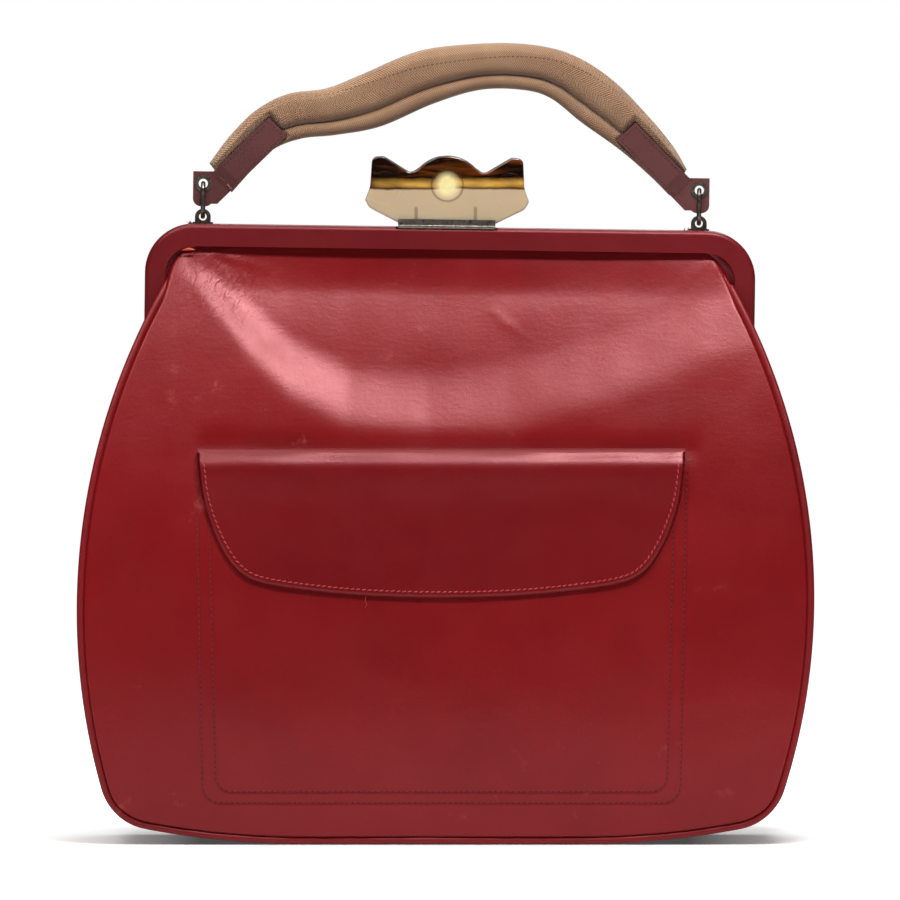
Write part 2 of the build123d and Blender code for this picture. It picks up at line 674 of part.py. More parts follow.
def body_pieces():
    front = panel(-1)
    edging = welt(-1)
    return {
        "front_panel": front - swing_zone(SWING_GAP) - pocket_slot(),
        "front_panel_top": front & swing_zone(-SWING_GAP),
        "front_welt": edging - swing_zone(SWING_GAP),
        "front_welt_ends": edging & swing_zone(-SWING_GAP),
        "back_panel": panel(1),
        "back_welt": welt(1),
        "gusset": gusset(),
        "base_board": base_board(),
        "lining": lining(),
        "pocket_backing": pocket_backing(),
        "pocket_flap": pocket_flap(),
    }


def frame_pieces():
    cover = frame_cover()
    rivet = hinge_rivet()
    return {
        "front_frame_cover": cover - clasp_seat(),
        "front_frame_core": frame_core(back=False),
        "back_frame_cover": mirror_y(cover),
        "back_frame_core": frame_core(back=True),
        "right_hinge_rivet": rivet,
        "left_hinge_rivet": mirror_x(rivet),
    }


def clasp_pieces():
    plate = ornament() - ornament_pins()
    upper = block(-FAR, FAR, -FAR, FAR, ORNAMENT_SPLIT, FAR + FAR)
    return {
        "clasp_base": clasp_base(),
        "clasp_hinge_pin": clasp_pin(),
        "clasp_channel": clasp_channel(),
        "clasp_keeper": clasp_keeper(),
        "ornament_tortoiseshell": plate & upper,
        "ornament_cream": plate - upper,
        "ornament_pins": ornament_pins(),
    }


def handle_pieces():
    pieces = {"handle_tape": handle_tape(), "handle_padding": handle_padding()}
    right = {
        "lug": lug(),
        "link": link(),
        "eyelet": eyelet(),
        "tab_front": tab(-1),
        "tab_back": tab(1),
    }
    for name, solid in right.items():
        pieces["right_" + name] = solid
        pieces["left_" + name] = mirror_x(solid)
    return pieces


def main():
    os.makedirs("parts", exist_ok=True)
    pieces = body_pieces()
    for group in (frame_pieces(), clasp_pieces(), handle_pieces()):
        pieces.update({name: seated(solid) for name, solid in group.items()})
    for name, solid in pieces.items():
        export_step(solid, os.path.join("parts", name + ".step"))


main()
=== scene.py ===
import math

import bpy
import numpy as np
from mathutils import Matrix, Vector


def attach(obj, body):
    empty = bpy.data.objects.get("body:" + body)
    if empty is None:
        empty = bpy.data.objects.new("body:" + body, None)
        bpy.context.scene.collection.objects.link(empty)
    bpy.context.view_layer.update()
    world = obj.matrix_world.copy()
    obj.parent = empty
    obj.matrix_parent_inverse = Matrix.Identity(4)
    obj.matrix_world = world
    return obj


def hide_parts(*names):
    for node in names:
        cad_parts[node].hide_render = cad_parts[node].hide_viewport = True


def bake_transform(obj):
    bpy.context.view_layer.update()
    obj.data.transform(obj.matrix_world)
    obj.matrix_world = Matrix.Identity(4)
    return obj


# The dressed handbag: leather, stitching, tape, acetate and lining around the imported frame.
# Lengths are millimetres until mesh() turns them into metres. X is to the right,
# the front faces -Y and Z is up.

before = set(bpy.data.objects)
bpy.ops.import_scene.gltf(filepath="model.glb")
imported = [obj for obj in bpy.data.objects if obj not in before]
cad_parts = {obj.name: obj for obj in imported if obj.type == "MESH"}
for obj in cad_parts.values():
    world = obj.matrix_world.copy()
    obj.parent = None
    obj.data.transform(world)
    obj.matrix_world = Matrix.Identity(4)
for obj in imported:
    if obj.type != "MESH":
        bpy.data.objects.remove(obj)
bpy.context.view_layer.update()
rng = np.random.default_rng(7)
MM = 0.001

# Body, the same driving sizes as the source
HALF_WIDTH = 180.9
WIDEST_Z = 118.0
SIDE_RADIUS = 320.0
BASE_FLAT_HALF = 70.0
BASE_CORNER_Z = 10.8
BASE_CORNER_RADIUS = 28.0
PANEL_TOP_Z = 297.0
HALF_DEPTH = 55.5
DEEPEST_Z = 63.0
DEPTH_RADIUS = 557.0
FRAME_TOP = 302.0
BASE_X = -1.65
TURN = math.radians(0.8)
WELT_WIDTH = 3.4
WELT_TOP_Z = 272.0
WELT_ROWS = 460
SHOULDER_SPREAD = 3.0
PANEL_THICK = 1.7
# The band of finer columns beside a panel's edge, and where its rows get finer towards the top
EDGE_BAND = 60.0
FINE_ROWS_Z = 240.0
GUSSET_THICK = 1.2
GUSSET_END_THICK = 0.8
GUSSET_END_Z = (252.0, 293.0)
LINING_Z = (196.0, 288.0)
# The middle of the frame's upper corners and their radius
FRAME_CORNER_X = 124.5
FRAME_CORNER_RADIUS = 24.0
# The hollow below the frame: across, height of its lower slope, depth and the slope's width
HOLLOW = [
    (-152, 290, 0.3, 12), (-132, 284, 1.1, 16), (-118, 272, 2.2, 22), (-100, 252, 3.6, 30),
    (-78, 232, 4.8, 35), (-50, 218, 5.2, 38), (-10, 213, 5.0, 40), (30, 218, 4.6, 42),
    (70, 230, 3.8, 42), (105, 243, 2.8, 40), (135, 254, 1.6, 36), (152, 260, 0.6, 30),
]
# Wrinkles of the front: start across and up, direction in degrees, height, reach and width
GATHERS = [
    (-124.0, 290.0, -62, 0.55, 14, 1.8), (-121.0, 289.0, -50, 0.60, 17, 1.7),
    (-125.0, 287.0, -78, 0.40, 14, 1.8), (-117.0, 288.5, -18, 0.9, 12, 1.8),
    (-113.0, 290.5, -6, 0.6, 14, 1.5), (132.0, 287.0, -118, 0.3, 16, 2.2),
    (128.0, 288.0, -135, 0.3, 18, 2.2), (20.0, 262.0, -40, 0.25, 9, 1.6),
    (26.0, 256.0, -30, 0.2, 8, 1.5),
]
# The edging's section: across from its middle line, and how far inside the body's surface
WELT_SECTION = [
    (-2.1, 2.4), (-2.1, 1.6), (-1.5, 0.95), (-0.7, 0.5), (0.2, 0.35), (0.95, 0.55), (1.45, 1.0),
    (1.68, 1.7), (1.6, 3.0), (-0.4, 3.1),
]
# How deep the gusset folds in at its middle, by height
GUSSET_FOLD = [
    (25, 0), (120, 1.4), (198, 2.2), (206, 4.0), (214, 9.0), (222, 14.5), (232, 18.0), (242, 17.0),
    (262, 9.5), (276, 8), (290, 9),
]

# Pocket, flap and seams
POCKET_X = -2.0
SLOT_HALF_WIDTH = 110.0
SLOT_BOTTOM_Z = 183.0
SLOT_TOP_Z = 189.0
SLOT_CUT_Y = (-60.0, -30.0)
FLAP_ROLL_Z = 191.4
FLAP_ROLL_RADIUS = 2.2
FLAP_ROLL_ROWS = 17
FLAP_THICK = 2.0
# The fold's section about the flap's axis, forward and up, from its back over its top to the face
FLAP_ROLL = [
    (-2.6, -0.4), (-2.5, 0.9), (-1.9, 1.9), (-0.9, 2.45), (0.2, 2.45), (1.0, 2.2), (1.7, 1.75),
    (2.35, 1.15), (2.9, 0.5),
]
# How far the face stands out beyond the leather's own thickness, by distance below the axis
FLAP_BULGE = [
    (0.0, 3.15), (1.2, 3.6), (2.4, 4.05), (3.6, 4.4), (4.8, 4.65), (6.0, 4.75), (8.0, 4.65), (12.0, 4.0),
    (18.0, 2.8), (26.0, 1.4), (36.0, 0.5), (46.0, 0.0),
]
FLAP_GAP = 0.4
FLAP_OUTLINE = [
    (119.6, 191.4), (119.3, 186.0), (117.2, 170.0), (112.8, 156.0), (106.8, 143.5), (99.5, 134.0),
    (89.0, 128.4), (66.0, 124.6), (35.0, 121.8), (0.0, 120.9),
]
# Seams of the pocket: half width at the top and the bottom, top, bottom and corner radius
OUTER_SEAM = (120.3, 117.2, 181.0, 20.3, 9.0)
INNER_SEAM = (114.3, 110.8, 181.0, 25.8, 8.0)
STITCH_PITCH = 2.8
STITCH_INSET = 2.9
STITCH_LENGTH = 2.0
STITCH_RADIUS = 0.27
# Along a stitch: how thick it is, how deep it dips and where it stands
STITCH_SHAPE = [(0.35, 0.5, -1), (0.9, 0.1, -0.6), (1, 0, 0), (0.9, 0.1, 0.6), (0.35, 0.5, 1)]

# Handle
HANDLE_ROWS = 420
HANDLE_HALF_WIDTH = 11.5
# Points along its upper and lower edge in the front view
HANDLE_UPPER = [
    (-116.5, 333.5), (-106.6, 346.7), (-93.8, 359.4), (-78.0, 367.6), (-59.0, 370.4), (-42.0, 377.0),
    (-14.0, 388.6), (14.0, 392.3), (40.0, 392.2), (62.0, 387.2), (82.3, 374.6), (101.0, 355.6),
    (112.5, 341.5), (119.0, 330.5),
]
HANDLE_LOWER = [
    (-105.5, 319.0), (-96.0, 329.6), (-85.0, 340.2), (-71.0, 345.6), (-54.0, 347.4), (-32.0, 351.6),
    (-6.0, 362.8), (17.0, 369.6), (38.0, 369.6), (52.0, 365.4), (67.0, 353.6), (86.0, 340.0),
    (101.0, 327.0), (110.5, 317.5),
]
# The tape's face from its upper edge (1) to its lower edge (-1), and how far it stands out
TAPE_FACE = [
    (1.0, 0.0), (0.98, 2.0), (0.88, 4.5), (0.66, 6.3), (0.45, 6.6), (0.30, 6.4), (0.16, 6.5),
    (-0.08, 6.2), (-0.27, 4.9), (-0.37, 2.6), (-0.45, 3.3), (-0.62, 4.5), (-0.84, 3.9), (-0.97, 1.9),
    (-1.0, 0.0),
]
# The tape's weave: the width of a band and the pitch of its lines
TAPE_BAND = 4.2
TWILL_PITCH = 1.15
LUG_X = 122.4
LUG_Y = 4.0
TAB_ORIGIN = (118.4, 317.8)
TAB_HALF_WIDTH = 6.4
TAB_REACH = 46.0
TAB_BED = 2.75

CLASP_X = -2.0
ORNAMENT_SPLIT = 321.0
BOSS_HEIGHT = 322.7
BOSS_RADIUS = 7.8
PIN_PLACES = (-14.5, 14.7)

# Camera and light
CAMERA_DISTANCE = 8000.0
CAMERA_ELEVATION = 1.5
SENSOR_WIDTH = 36.0
VIEW_WIDTH = 441.0
VIEW_CENTRE = (2.2, 192.0)
# How bright the world is as light, in front and behind
STUDIO_FRONT = 0.13
STUDIO_BACK = 0.75
FLOOR_HALF = 9000.0
FLOOR_Z = -0.4
# Lamps: name, direction from the aim, height in degrees, distance, size, power and aim in metres
LAMPS = [
    ("key", 16, 53, 1.7, (0.50, 0.26), 20, (0, 0, 0.16)),
    ("left", -36, 48, 1.7, (0.7, 0.4), 8, (0, 0, 0.16)),
    ("above", 0, 88, 1.6, (1.6, 1.2), 13, (0, 0, 0.16)),
    ("behind", 172, 38, 1.3, (0.6, 0.4), 5, (0, 0, 0.32)),
]


def seat(u, v):
    """A point of the frame's own front view, put on the leaning bag."""
    x = BASE_X + u * math.cos(TURN) + v * math.sin(TURN)
    return x, v * math.cos(TURN) - u * math.sin(TURN)


def front_y(z):
    return HALF_DEPTH - DEPTH_RADIUS + np.sqrt(DEPTH_RADIUS ** 2 - (z - DEEPEST_Z) ** 2)


def side_x(z):
    return HALF_WIDTH - SIDE_RADIUS + np.sqrt(SIDE_RADIUS ** 2 - (z - WIDEST_Z) ** 2)


def leaned(x, z):
    turn = math.sin(TURN)
    return BASE_X + x + turn * z, z - turn * x * z / FRAME_TOP


def smooth(t):
    t = np.clip(t, 0, 1)
    return t * t * (3 - 2 * t)


def spline(points, count):
    """A smooth curve through the points, sampled evenly by length."""
    p = np.array(points, float)
    p = np.vstack([2 * p[0] - p[1], p, 2 * p[-1] - p[-2]])
    fine = []
    for a, b, c, d in zip(p, p[1:], p[2:], p[3:]):
        t = np.linspace(0, 1, 24, endpoint=False)[:, None]
        fine.append(0.5 * (2 * b + (c - a) * t + (2 * a - 5 * b + 4 * c - d) * t ** 2
                           + (3 * b - a - 3 * c + d) * t ** 3))
    return resample(np.vstack(fine + [p[-2:-1]]), count)


def points_of(*axes):
    """Points from their coordinates along each axis."""
    return np.stack(axes, axis=1)


def round_angles(count):
    return np.linspace(0, 2 * math.pi, count, endpoint=False)


def mirrored(right):
    """A whole outline from its right half, which ends at the middle."""
    return np.vstack([right * [-1, 1], right[-2::-1]])


def lengths(path):
    steps = np.linalg.norm(np.diff(path, axis=0), axis=1)
    return np.concatenate([[0], np.cumsum(steps)])


def resample(path, count):
    run = lengths(path)
    even = np.linspace(0, run[-1], count)
    return points_of(*[np.interp(even, run, path[:, k]) for k in range(path.shape[1])])


def base_arc_radius():
    reach = side_x(BASE_CORNER_Z) - BASE_FLAT_HALF
    return (reach ** 2 + BASE_CORNER_Z ** 2) / (2 * BASE_CORNER_Z)


def corner_centre():
    """Where the base corner's arc has its middle: as far inside the base as inside the side."""
    r_base = base_arc_radius() - BASE_CORNER_RADIUS
    r_side = SIDE_RADIUS - BASE_CORNER_RADIUS
    c_base = np.array([BASE_FLAT_HALF, base_arc_radius()])
    c_side = np.array([HALF_WIDTH - SIDE_RADIUS, WIDEST_Z])
    gap = c_side - c_base
    d = np.linalg.norm(gap)
    a = (r_base ** 2 - r_side ** 2 + d * d) / (2 * d)
    h = math.sqrt(r_base ** 2 - a * a)
    mid = c_base + gap * a / d
    side = np.array([gap[1], -gap[0]]) / d * h
    return max((mid + side, mid - side), key=lambda p: p[0])


def arc(centre, radius, start, end, count):
    angles = np.linspace(start, end, count)
    return points_of(centre[0] + radius * np.cos(angles), centre[1] + radius * np.sin(angles))


def half_rim(inset, top):
    """The right half of the body's edge, from the base's middle to the top, unleaned."""
    rho = base_arc_radius()
    c = corner_centre()
    to_base = math.atan2(c[1] - rho, c[0] - BASE_FLAT_HALF)
    side_c = (HALF_WIDTH - SIDE_RADIUS, WIDEST_Z)
    to_side = math.atan2(c[1] - side_c[1], c[0] - side_c[0])
    to_top = math.asin((top - WIDEST_Z) / (SIDE_RADIUS - inset))
    flat = points_of(np.linspace(0, BASE_FLAT_HALF, 40), np.full(40, float(inset)))
    return np.vstack([
        flat,
        arc((BASE_FLAT_HALF, rho), rho - inset, -math.pi / 2, to_base, 60)[1:],
        arc(c, BASE_CORNER_RADIUS - inset, to_base, to_side, 24)[1:],
        arc(side_c, SIDE_RADIUS - inset, to_side, to_top, 160)[1:],
    ])


def rim(inset, top, count):
    """The body's edge from the left top, round the base, to the right top, leaned."""
    half = half_rim(inset, top)
    whole = np.vstack([half[::-1] * [-1, 1], half[1:]])
    whole = resample(whole, count)
    return np.stack(leaned(whole[:, 0], whole[:, 1]), axis=1)


def normals_2d(path):
    """The outward normals of a path that runs anticlockwise round the body."""
    t = np.gradient(path, axis=0)
    t /= np.linalg.norm(t, axis=1)[:, None]
    return points_of(t[:, 1], -t[:, 0])


def placed(name, data):
    """A new object of the scene."""
    thing = bpy.data.objects.new(name, data)
    bpy.context.scene.collection.objects.link(thing)
    return thing


def mesh(name, points, faces, uv=None):
    """A smooth-shaded mesh object from points in millimetres."""
    data = bpy.data.meshes.new(name)
    data.from_pydata((np.asarray(points) * MM).tolist(), [], [list(map(int, f)) for f in faces])
    data.polygons.foreach_set("use_smooth", [True] * len(data.polygons))
    if uv is not None:
        layer = data.uv_layers.new(name="run")
        loops = np.zeros(len(data.loops), int)
        data.loops.foreach_get("vertex_index", loops)
        layer.data.foreach_set("uv", np.asarray(uv)[loops].astype(np.float32).ravel())
    data.update()
    return placed(name, data)


def grid_faces(rows, columns, closed=False, start=0, flip=False):
    """Quads of a grid, its columns joined round when closed."""
    faces = []
    for r in range(rows - 1):
        for c in range(columns if closed else columns - 1):
            a, b = r * columns + c, r * columns + (c + 1) % columns
            quad = [start + a, start + b, start + b + columns, start + a + columns]
            faces.append(quad[::-1] if flip else quad)
    return faces


def sheet_mesh(name, outer, thickness, inward):
    """A leather sheet: the outer grid of points, an inner copy, and the turned edge between."""
    rows, columns = outer.shape[:2]
    inner = outer + np.array(inward) * thickness
    n = rows * columns
    points = np.vstack([outer.reshape(-1, 3), inner.reshape(-1, 3)])
    faces = grid_faces(rows, columns) + grid_faces(rows, columns, start=n, flip=True)
    edge = list(range(columns))
    edge += [r * columns + columns - 1 for r in range(1, rows)]
    edge += [(rows - 1) * columns + c for c in range(columns - 2, -1, -1)]
    edge += [r * columns for r in range(rows - 2, 0, -1)]
    for a, b in zip(edge, edge[1:] + edge[:1]):
        faces.append([b, a, a + n, b + n])
    return mesh(name, points, faces)


def swept(name, rings, uv=None):
    """A tube with closed ends, from rings of points that all have the same count."""
    rows, columns = rings.shape[:2]
    faces = grid_faces(rows, columns, closed=True)
    faces.append(list(range(columns))[::-1])
    faces.append([(rows - 1) * columns + c for c in range(columns)])
    return mesh(name, rings.reshape(-1, 3), faces, uv)


def joined(parts, name):
    """Several objects made into one, with a name of its own."""
    bpy.ops.object.select_all(action="DESELECT")
    for part in parts:
        part.select_set(True)
    bpy.context.view_layer.objects.active = parts[0]
    bpy.ops.object.join()
    parts[0].name = name
    return parts[0]


def graded(limit, coarse):
    """Distances from an edge: fine beside it, then even steps up to the limit."""
    near = [0.0, 0.5, 1.0, 1.6, 2.4, 3.6, 5.4, 8.0]
    steps = max(2, round((limit - near[-1]) / coarse))
    return np.concatenate([near[:-1], np.linspace(near[-1], limit, steps)])


def soft_noise(x, z, scale, seed):
    """A smooth wandering field, made of a few waves in mixed directions."""
    mix = np.random.default_rng(seed)
    total = np.zeros_like(x)
    for _ in range(7):
        angle, phase = mix.uniform(0, 2 * math.pi, 2)
        k = 2 * math.pi / (scale * mix.uniform(0.7, 1.6))
        total += np.sin(k * (x * math.cos(angle) + z * math.sin(angle)) + phase)
    return total / 7


def sag(x, z):
    """How far the leather hangs in below the frame: a hollow whose lower slope runs in a wide V."""
    across, height, depth, width = np.array(HOLLOW).T
    centre = np.interp(x, across, height)
    reach = np.interp(x, across, width)
    return np.interp(x, across, depth) * smooth((z - centre) / reach + 0.5) * smooth((298 - z) / 30)


def panel_relief(x, z, edge, sign):
    """How far a panel's leather lies inside (+) its CAD surface."""
    belly = -1.2 * np.exp(-((z - 60) / 45) ** 2) * np.exp(-(x / 120) ** 2)
    radius = 1.2 + 1.4 * smooth((z - 258) / 22)
    roll = radius - np.sqrt(np.clip(radius ** 2 - np.clip(radius - edge, 0, radius) ** 2, 0, None))
    waves = 0.35 * soft_noise(x, z, 70, 3 if sign < 0 else 4) + 0.10 * soft_noise(x, z, 22, 5)
    bed = (0.9 if sign < 0 else 0.0) * np.exp(-((z - 194.5) / 5.0) ** 2) * smooth((125 - np.abs(x)) / 5)
    return sag(x, z) + belly + roll + waves + bed


def gathers(x, z):
    """Wrinkles that run out of the left top corner, and weaker ones on the right and in the middle."""
    total = np.zeros_like(x)
    for fx, fz, degrees, height, reach, width in GATHERS:
        a = math.radians(degrees)
        along = (x - fx) * math.cos(a) + (z - fz) * math.sin(a)
        across = -(x - fx) * math.sin(a) + (z - fz) * math.cos(a)
        fade = smooth(along / 4 + 0.5) * np.exp(-np.clip(along, 0, None) / reach)
        total -= height * fade * np.exp(-(across / width) ** 2)
    return total


def panel_points(sign):
    """The grid of a broad panel: rows follow the base below and the frame above."""
    inner = WELT_WIDTH + 0.1
    half = half_rim(inner, PANEL_TOP_Z)
    z_split = corner_centre()[1] - (BASE_CORNER_RADIUS - inner) * math.sin(math.radians(40))
    start = int(np.argmax((half[:, 0] > BASE_FLAT_HALF + 40) & (half[:, 1] > z_split)))
    sides, base = half[start:], half[:start + 1]
    z_low, x_low = sides[0, 1], sides[0, 0]
    split = FINE_ROWS_Z - z_low
    heights = np.concatenate([graded(split, 3.0)[:-1], np.arange(split, PANEL_TOP_Z - z_low, 1.5)])
    edge_steps = graded(EDGE_BAND, 2.4)
    rows = []
    for h in heights:
        z_row = z_low + h
        w = np.interp(z_row, sides[:, 1], sides[:, 0])
        w += (inner - 0.2) * smooth((z_row - WELT_TOP_Z + 12) / 24)
        left = w + SHOULDER_SPREAD * smooth((z_row - 262) / 28) * (sign < 0)
        inside = np.linspace(EDGE_BAND - left, w - EDGE_BAND, 74)[1:-1]
        x = np.concatenate([edge_steps - left, inside, (w - edge_steps)[::-1]])
        drop = np.interp(np.abs(x) * x_low / w, base[:, 0], base[:, 1]) - z_low
        z = z_row + drop * (1 - h / heights[-1]) ** 2
        edge = np.minimum(np.minimum(w - x, x + left), h)
        lx, lz = leaned(x, z)
        relief = panel_relief(x, z, edge, sign)
        if sign < 0:
            relief = relief + gathers(x, z)
        y = sign * (front_y(z) - relief)
        rows.append(points_of(lx, y, lz))
    return np.array(rows)


def panel(name, sign):
    points = panel_points(sign)
    if sign > 0:
        points = points[:, ::-1]
    return sheet_mesh(name, points, PANEL_THICK, (0, -sign, 0))


def cut_slot(thing):
    """The pocket's mouth, a slot through the front leather behind the flap's fold."""
    across = (POCKET_X - SLOT_HALF_WIDTH, POCKET_X + SLOT_HALF_WIDTH)
    corners = [(x, y, z) for x in across for y in SLOT_CUT_Y for z in (SLOT_BOTTOM_Z, SLOT_TOP_Z)]
    sides = [(0, 1, 3, 2), (4, 6, 7, 5), (0, 4, 5, 1), (2, 3, 7, 6), (0, 2, 6, 4), (1, 5, 7, 3)]
    cutter = mesh("slot_cutter", corners, sides)
    apply(thing, "BOOLEAN", operation="DIFFERENCE", solver="EXACT", object=cutter)
    bpy.data.objects.remove(cutter)


def welt(name, sign):
    """The turned edging, a strip with a rounded face along the rim."""
    path = rim(WELT_WIDTH / 2, WELT_TOP_Z + 3, WELT_ROWS)
    out = normals_2d(path)
    k = np.arange(WELT_ROWS)
    taper = smooth(np.minimum(k, k[::-1]) / 9)
    rings = []
    for p, n, y, t in zip(path, out, front_y(path[:, 1]), taper):
        wobble = 0.06 * math.sin(p[0] * 0.35) + 0.05 * math.sin(p[1] * 0.5)
        ring = [(p[0] + n[0] * a, sign * (y - b + wobble - 0.8 * (1 - t)),
                 p[1] + n[1] * a) for a, b in WELT_SECTION]
        rings.append(ring if sign < 0 else ring[::-1])
    return swept(name, np.array(rings))


def gusset():
    """The side and bottom strip, folded inward at the sides so that it passes inside the hinge."""
    path = rim(1.2, 289.0, 380)
    out = normals_2d(path)
    across = np.linspace(-1, 1, 49)
    heights, folds = np.array(GUSSET_FOLD, float).T
    rows = []
    for p, n in zip(path, out):
        reach = front_y(p[1]) - 2.2
        y = across * reach
        floor_half = min(11.9, reach * 0.62) * smooth((p[1] - 205) / 25)
        spread = np.clip((np.abs(y) - floor_half) / max(reach - floor_half, 1.0), 0, 1)
        profile = np.cos(spread * math.pi / 2) ** 2
        fold = np.interp(p[1], heights, folds) * profile * abs(n[0])
        fold = fold + 0.2 * np.sin(across * 9 + p[1] * 0.06) * smooth((230 - p[1]) / 20)
        rows.append(points_of(p[0] - n[0] * fold, y, p[1] - n[1] * fold))
    outer = np.array(rows)[:, ::-1]
    inward = points_of(-out[:, 0], np.zeros(len(out)), -out[:, 1])
    inward = np.repeat(inward[:, None], len(across), axis=1)
    return sheet_mesh("gusset_leather", outer, GUSSET_THICK, inward)


def shoulders(name, sign):
    """The gusset's two ends on one half, drawn flat into the frame's upper corners."""
    made = []
    for side in (-1, 1):
        rows = []
        for v in np.linspace(*GUSSET_END_Z, 24):
            inner = float(side_x(v)) - 5.0
            corner = max(0.0, v - (FRAME_TOP - FRAME_CORNER_RADIUS))
            bow = math.sqrt(FRAME_CORNER_RADIUS ** 2 - min(corner, FRAME_CORNER_RADIUS - 0.1) ** 2)
            outer = FRAME_CORNER_X + bow - 4.0
            inner = min(inner, outer - 1.0)
            row = []
            for t in np.linspace(0, 1, 16):
                u = side * (inner + (outer - inner) * t)
                x, z = seat(u, v)
                row.append((x, sign * (6.9 + 0.5 * math.sin(t * 7 + v * 0.3) * (1 - t)), z))
            rows.append(row)
        points = np.array(rows)
        if side * sign > 0:
            points = points[:, ::-1]
        made.append(sheet_mesh(name, points, GUSSET_END_THICK, (0, -sign, 0)))
    return joined(made, name)


def flap_edge(count):
    """The flap's edge from its left top round to its right top."""
    right = np.array(FLAP_OUTLINE)
    return spline(mirrored(right), count) + [POCKET_X, 0]


def flap_wave(x, z):
    """How far the flap's face bends in and out."""
    return 0.35 * np.sin(x * 0.055 + 0.6) * smooth((z - 130) / 50) + 0.22 * soft_noise(x, z, 34, 11)


def flap_bulge(drop):
    """How far the flap's face stands out, by distance below its fold."""
    below, proud = spline(FLAP_BULGE, 120).T
    return np.interp(drop, below, proud)


def flap_back(z):
    """The y of the flap's hidden face, by height."""
    return -front_y(z) - FLAP_GAP - 0.5 * smooth((FLAP_ROLL_Z - z) / 60)


def flap():
    """The pocket flap, rolled over at its top, with a rounded cut edge."""
    edge = flap_edge(420)
    top = FLAP_ROLL_Z
    x = edge[:, 0]
    drops = np.concatenate([np.linspace(0, 0.82, 34)[1:-1], 1 - np.geomspace(0.18, 0.004, 14), [1.0]])
    axis_y = -front_y(top) - FLAP_GAP - FLAP_ROLL_RADIUS
    sway = 0.25 * np.sin(x * 0.06 + 1.0) + 0.15 * np.sin(x * 0.17)
    rows = []
    for forward, up in spline(FLAP_ROLL, FLAP_ROLL_ROWS):
        rise = 0.7 * sway * max(0.0, forward / 2.9) * np.clip(np.abs(edge[:, 1] - top), 0, 1)
        rows.append(points_of(x, np.full_like(x, axis_y - forward), top + up + rise))
    for t in drops:
        z = top + (edge[:, 1] - top) * t
        gap = np.array([np.min(np.hypot(edge[:, 0] - a, edge[:, 1] - b)) for a, b in zip(x, z)])
        low = np.clip(1 - gap / 1.5, 0, 1)
        face = FLAP_THICK * np.sqrt(1 - low ** 2 * 0.995) + flap_bulge(top - z) * np.clip(gap, 0, 1)
        rows.append(points_of(x, flap_back(z) - face - flap_wave(x, z) * smooth(gap / 6), z))
    under = []
    for t in np.linspace(1, 0, 14):
        z = top + (edge[:, 1] - top) * t
        under.append(points_of(x, flap_back(z), z))
    points = np.array(rows + under)
    count = len(edge)
    faces = grid_faces(len(points), count)
    fold = list(range(0, (FLAP_ROLL_ROWS + 1) * count, count))
    back = (len(points) - 1) * count
    faces.append(fold[::-1] + [back])
    faces.append([k + count - 1 for k in fold] + [back + count - 1])
    return mesh("flap_leather", points.reshape(-1, 3), faces)


def stitches(name, path, surface, radius=STITCH_RADIUS, length=STITCH_LENGTH, pitch=STITCH_PITCH,
             phase=0.5, slant=0.05):
    """A row of single stitches laid along a path of (x, z) points on a surface."""
    run = lengths(path)
    count = int(run[-1] / pitch)
    points, faces = [], []
    around = round_angles(6)
    last = 6 * (len(STITCH_SHAPE) - 1)
    for k in range(count):
        middle = (k + phase) * run[-1] / count + rng.normal(0, 0.06)
        ends = []
        for s in (-0.5, -0.36, 0, 0.36, 0.5):
            at = middle + s * length
            x, z = np.interp(at, run, path[:, 0]), np.interp(at, run, path[:, 1])
            ends.append(np.array([x, surface(x, z), z]))
        axis = ends[-1] - ends[0]
        axis /= np.linalg.norm(axis)
        side = np.cross(axis, [0, 1, 0])
        side /= np.linalg.norm(side)
        tilt = slant + rng.normal(0, 0.05)
        start = len(points)
        for centre, (size, rise, s) in zip(ends, STITCH_SHAPE):
            for a in around:
                points.append(centre + side * (math.cos(a) * radius * size + tilt * s)
                              + np.array([0, 1, 0]) * (math.sin(a) * radius * size + rise * radius))
        faces += grid_faces(len(STITCH_SHAPE), 6, closed=True, start=start)
        faces += [[start + c for c in range(6)][::-1], [start + last + c for c in range(6)]]
    return mesh(name, points, faces)


def seam_path(half_top, half_low, top, low, corner):
    """A U-shaped seam round the pocket, wider at its top, with rounded lower corners."""
    a = np.linspace(0, math.pi / 2, 16)
    right = [(half_top, top)]
    right += [(half_low - corner + corner * math.cos(t), low + corner - corner * math.sin(t)) for t in a]
    right.append((0.0, low))
    return resample(mirrored(np.array(right)), 800) + [POCKET_X, 0]


def panel_surface(x, z):
    """The front leather's y at a point of the lower panel, well away from its edge."""
    upright = x - BASE_X - math.sin(TURN) * z
    relief = panel_relief(np.array([upright]), np.array([z]), np.array([50.0]), -1)
    return float(-(front_y(z) - relief[0]))


def flap_surface(x, z):
    """The flap's y at a point of its face near the stitches."""
    wave = flap_wave(np.array([x]), np.array([z]))[0] * smooth(STITCH_INSET / 6)
    return float(flap_back(z) - FLAP_THICK - flap_bulge(FLAP_ROLL_Z - z) - wave)


def inset_path(path, inset):
    """A path moved inwards by a distance."""
    return path - normals_2d(path) * inset


def tab_axes(side):
    """Where the tab on one side starts in the front view, and its directions along and across."""
    origin = np.array(seat(side * TAB_ORIGIN[0], TAB_ORIGIN[1]))
    a = math.radians(135 if side > 0 else 45) - TURN
    return origin, np.array([math.cos(a), math.sin(a)]), np.array([-math.sin(a), math.cos(a)])


def tab_place(side, x, z):
    """How far a point lies along and across the tab on one side, in the front view."""
    origin, along, across = tab_axes(side)
    dx, dz = x - origin[0], z - origin[1]
    return dx * along[0] + dz * along[1], dx * across[0] + dz * across[1]


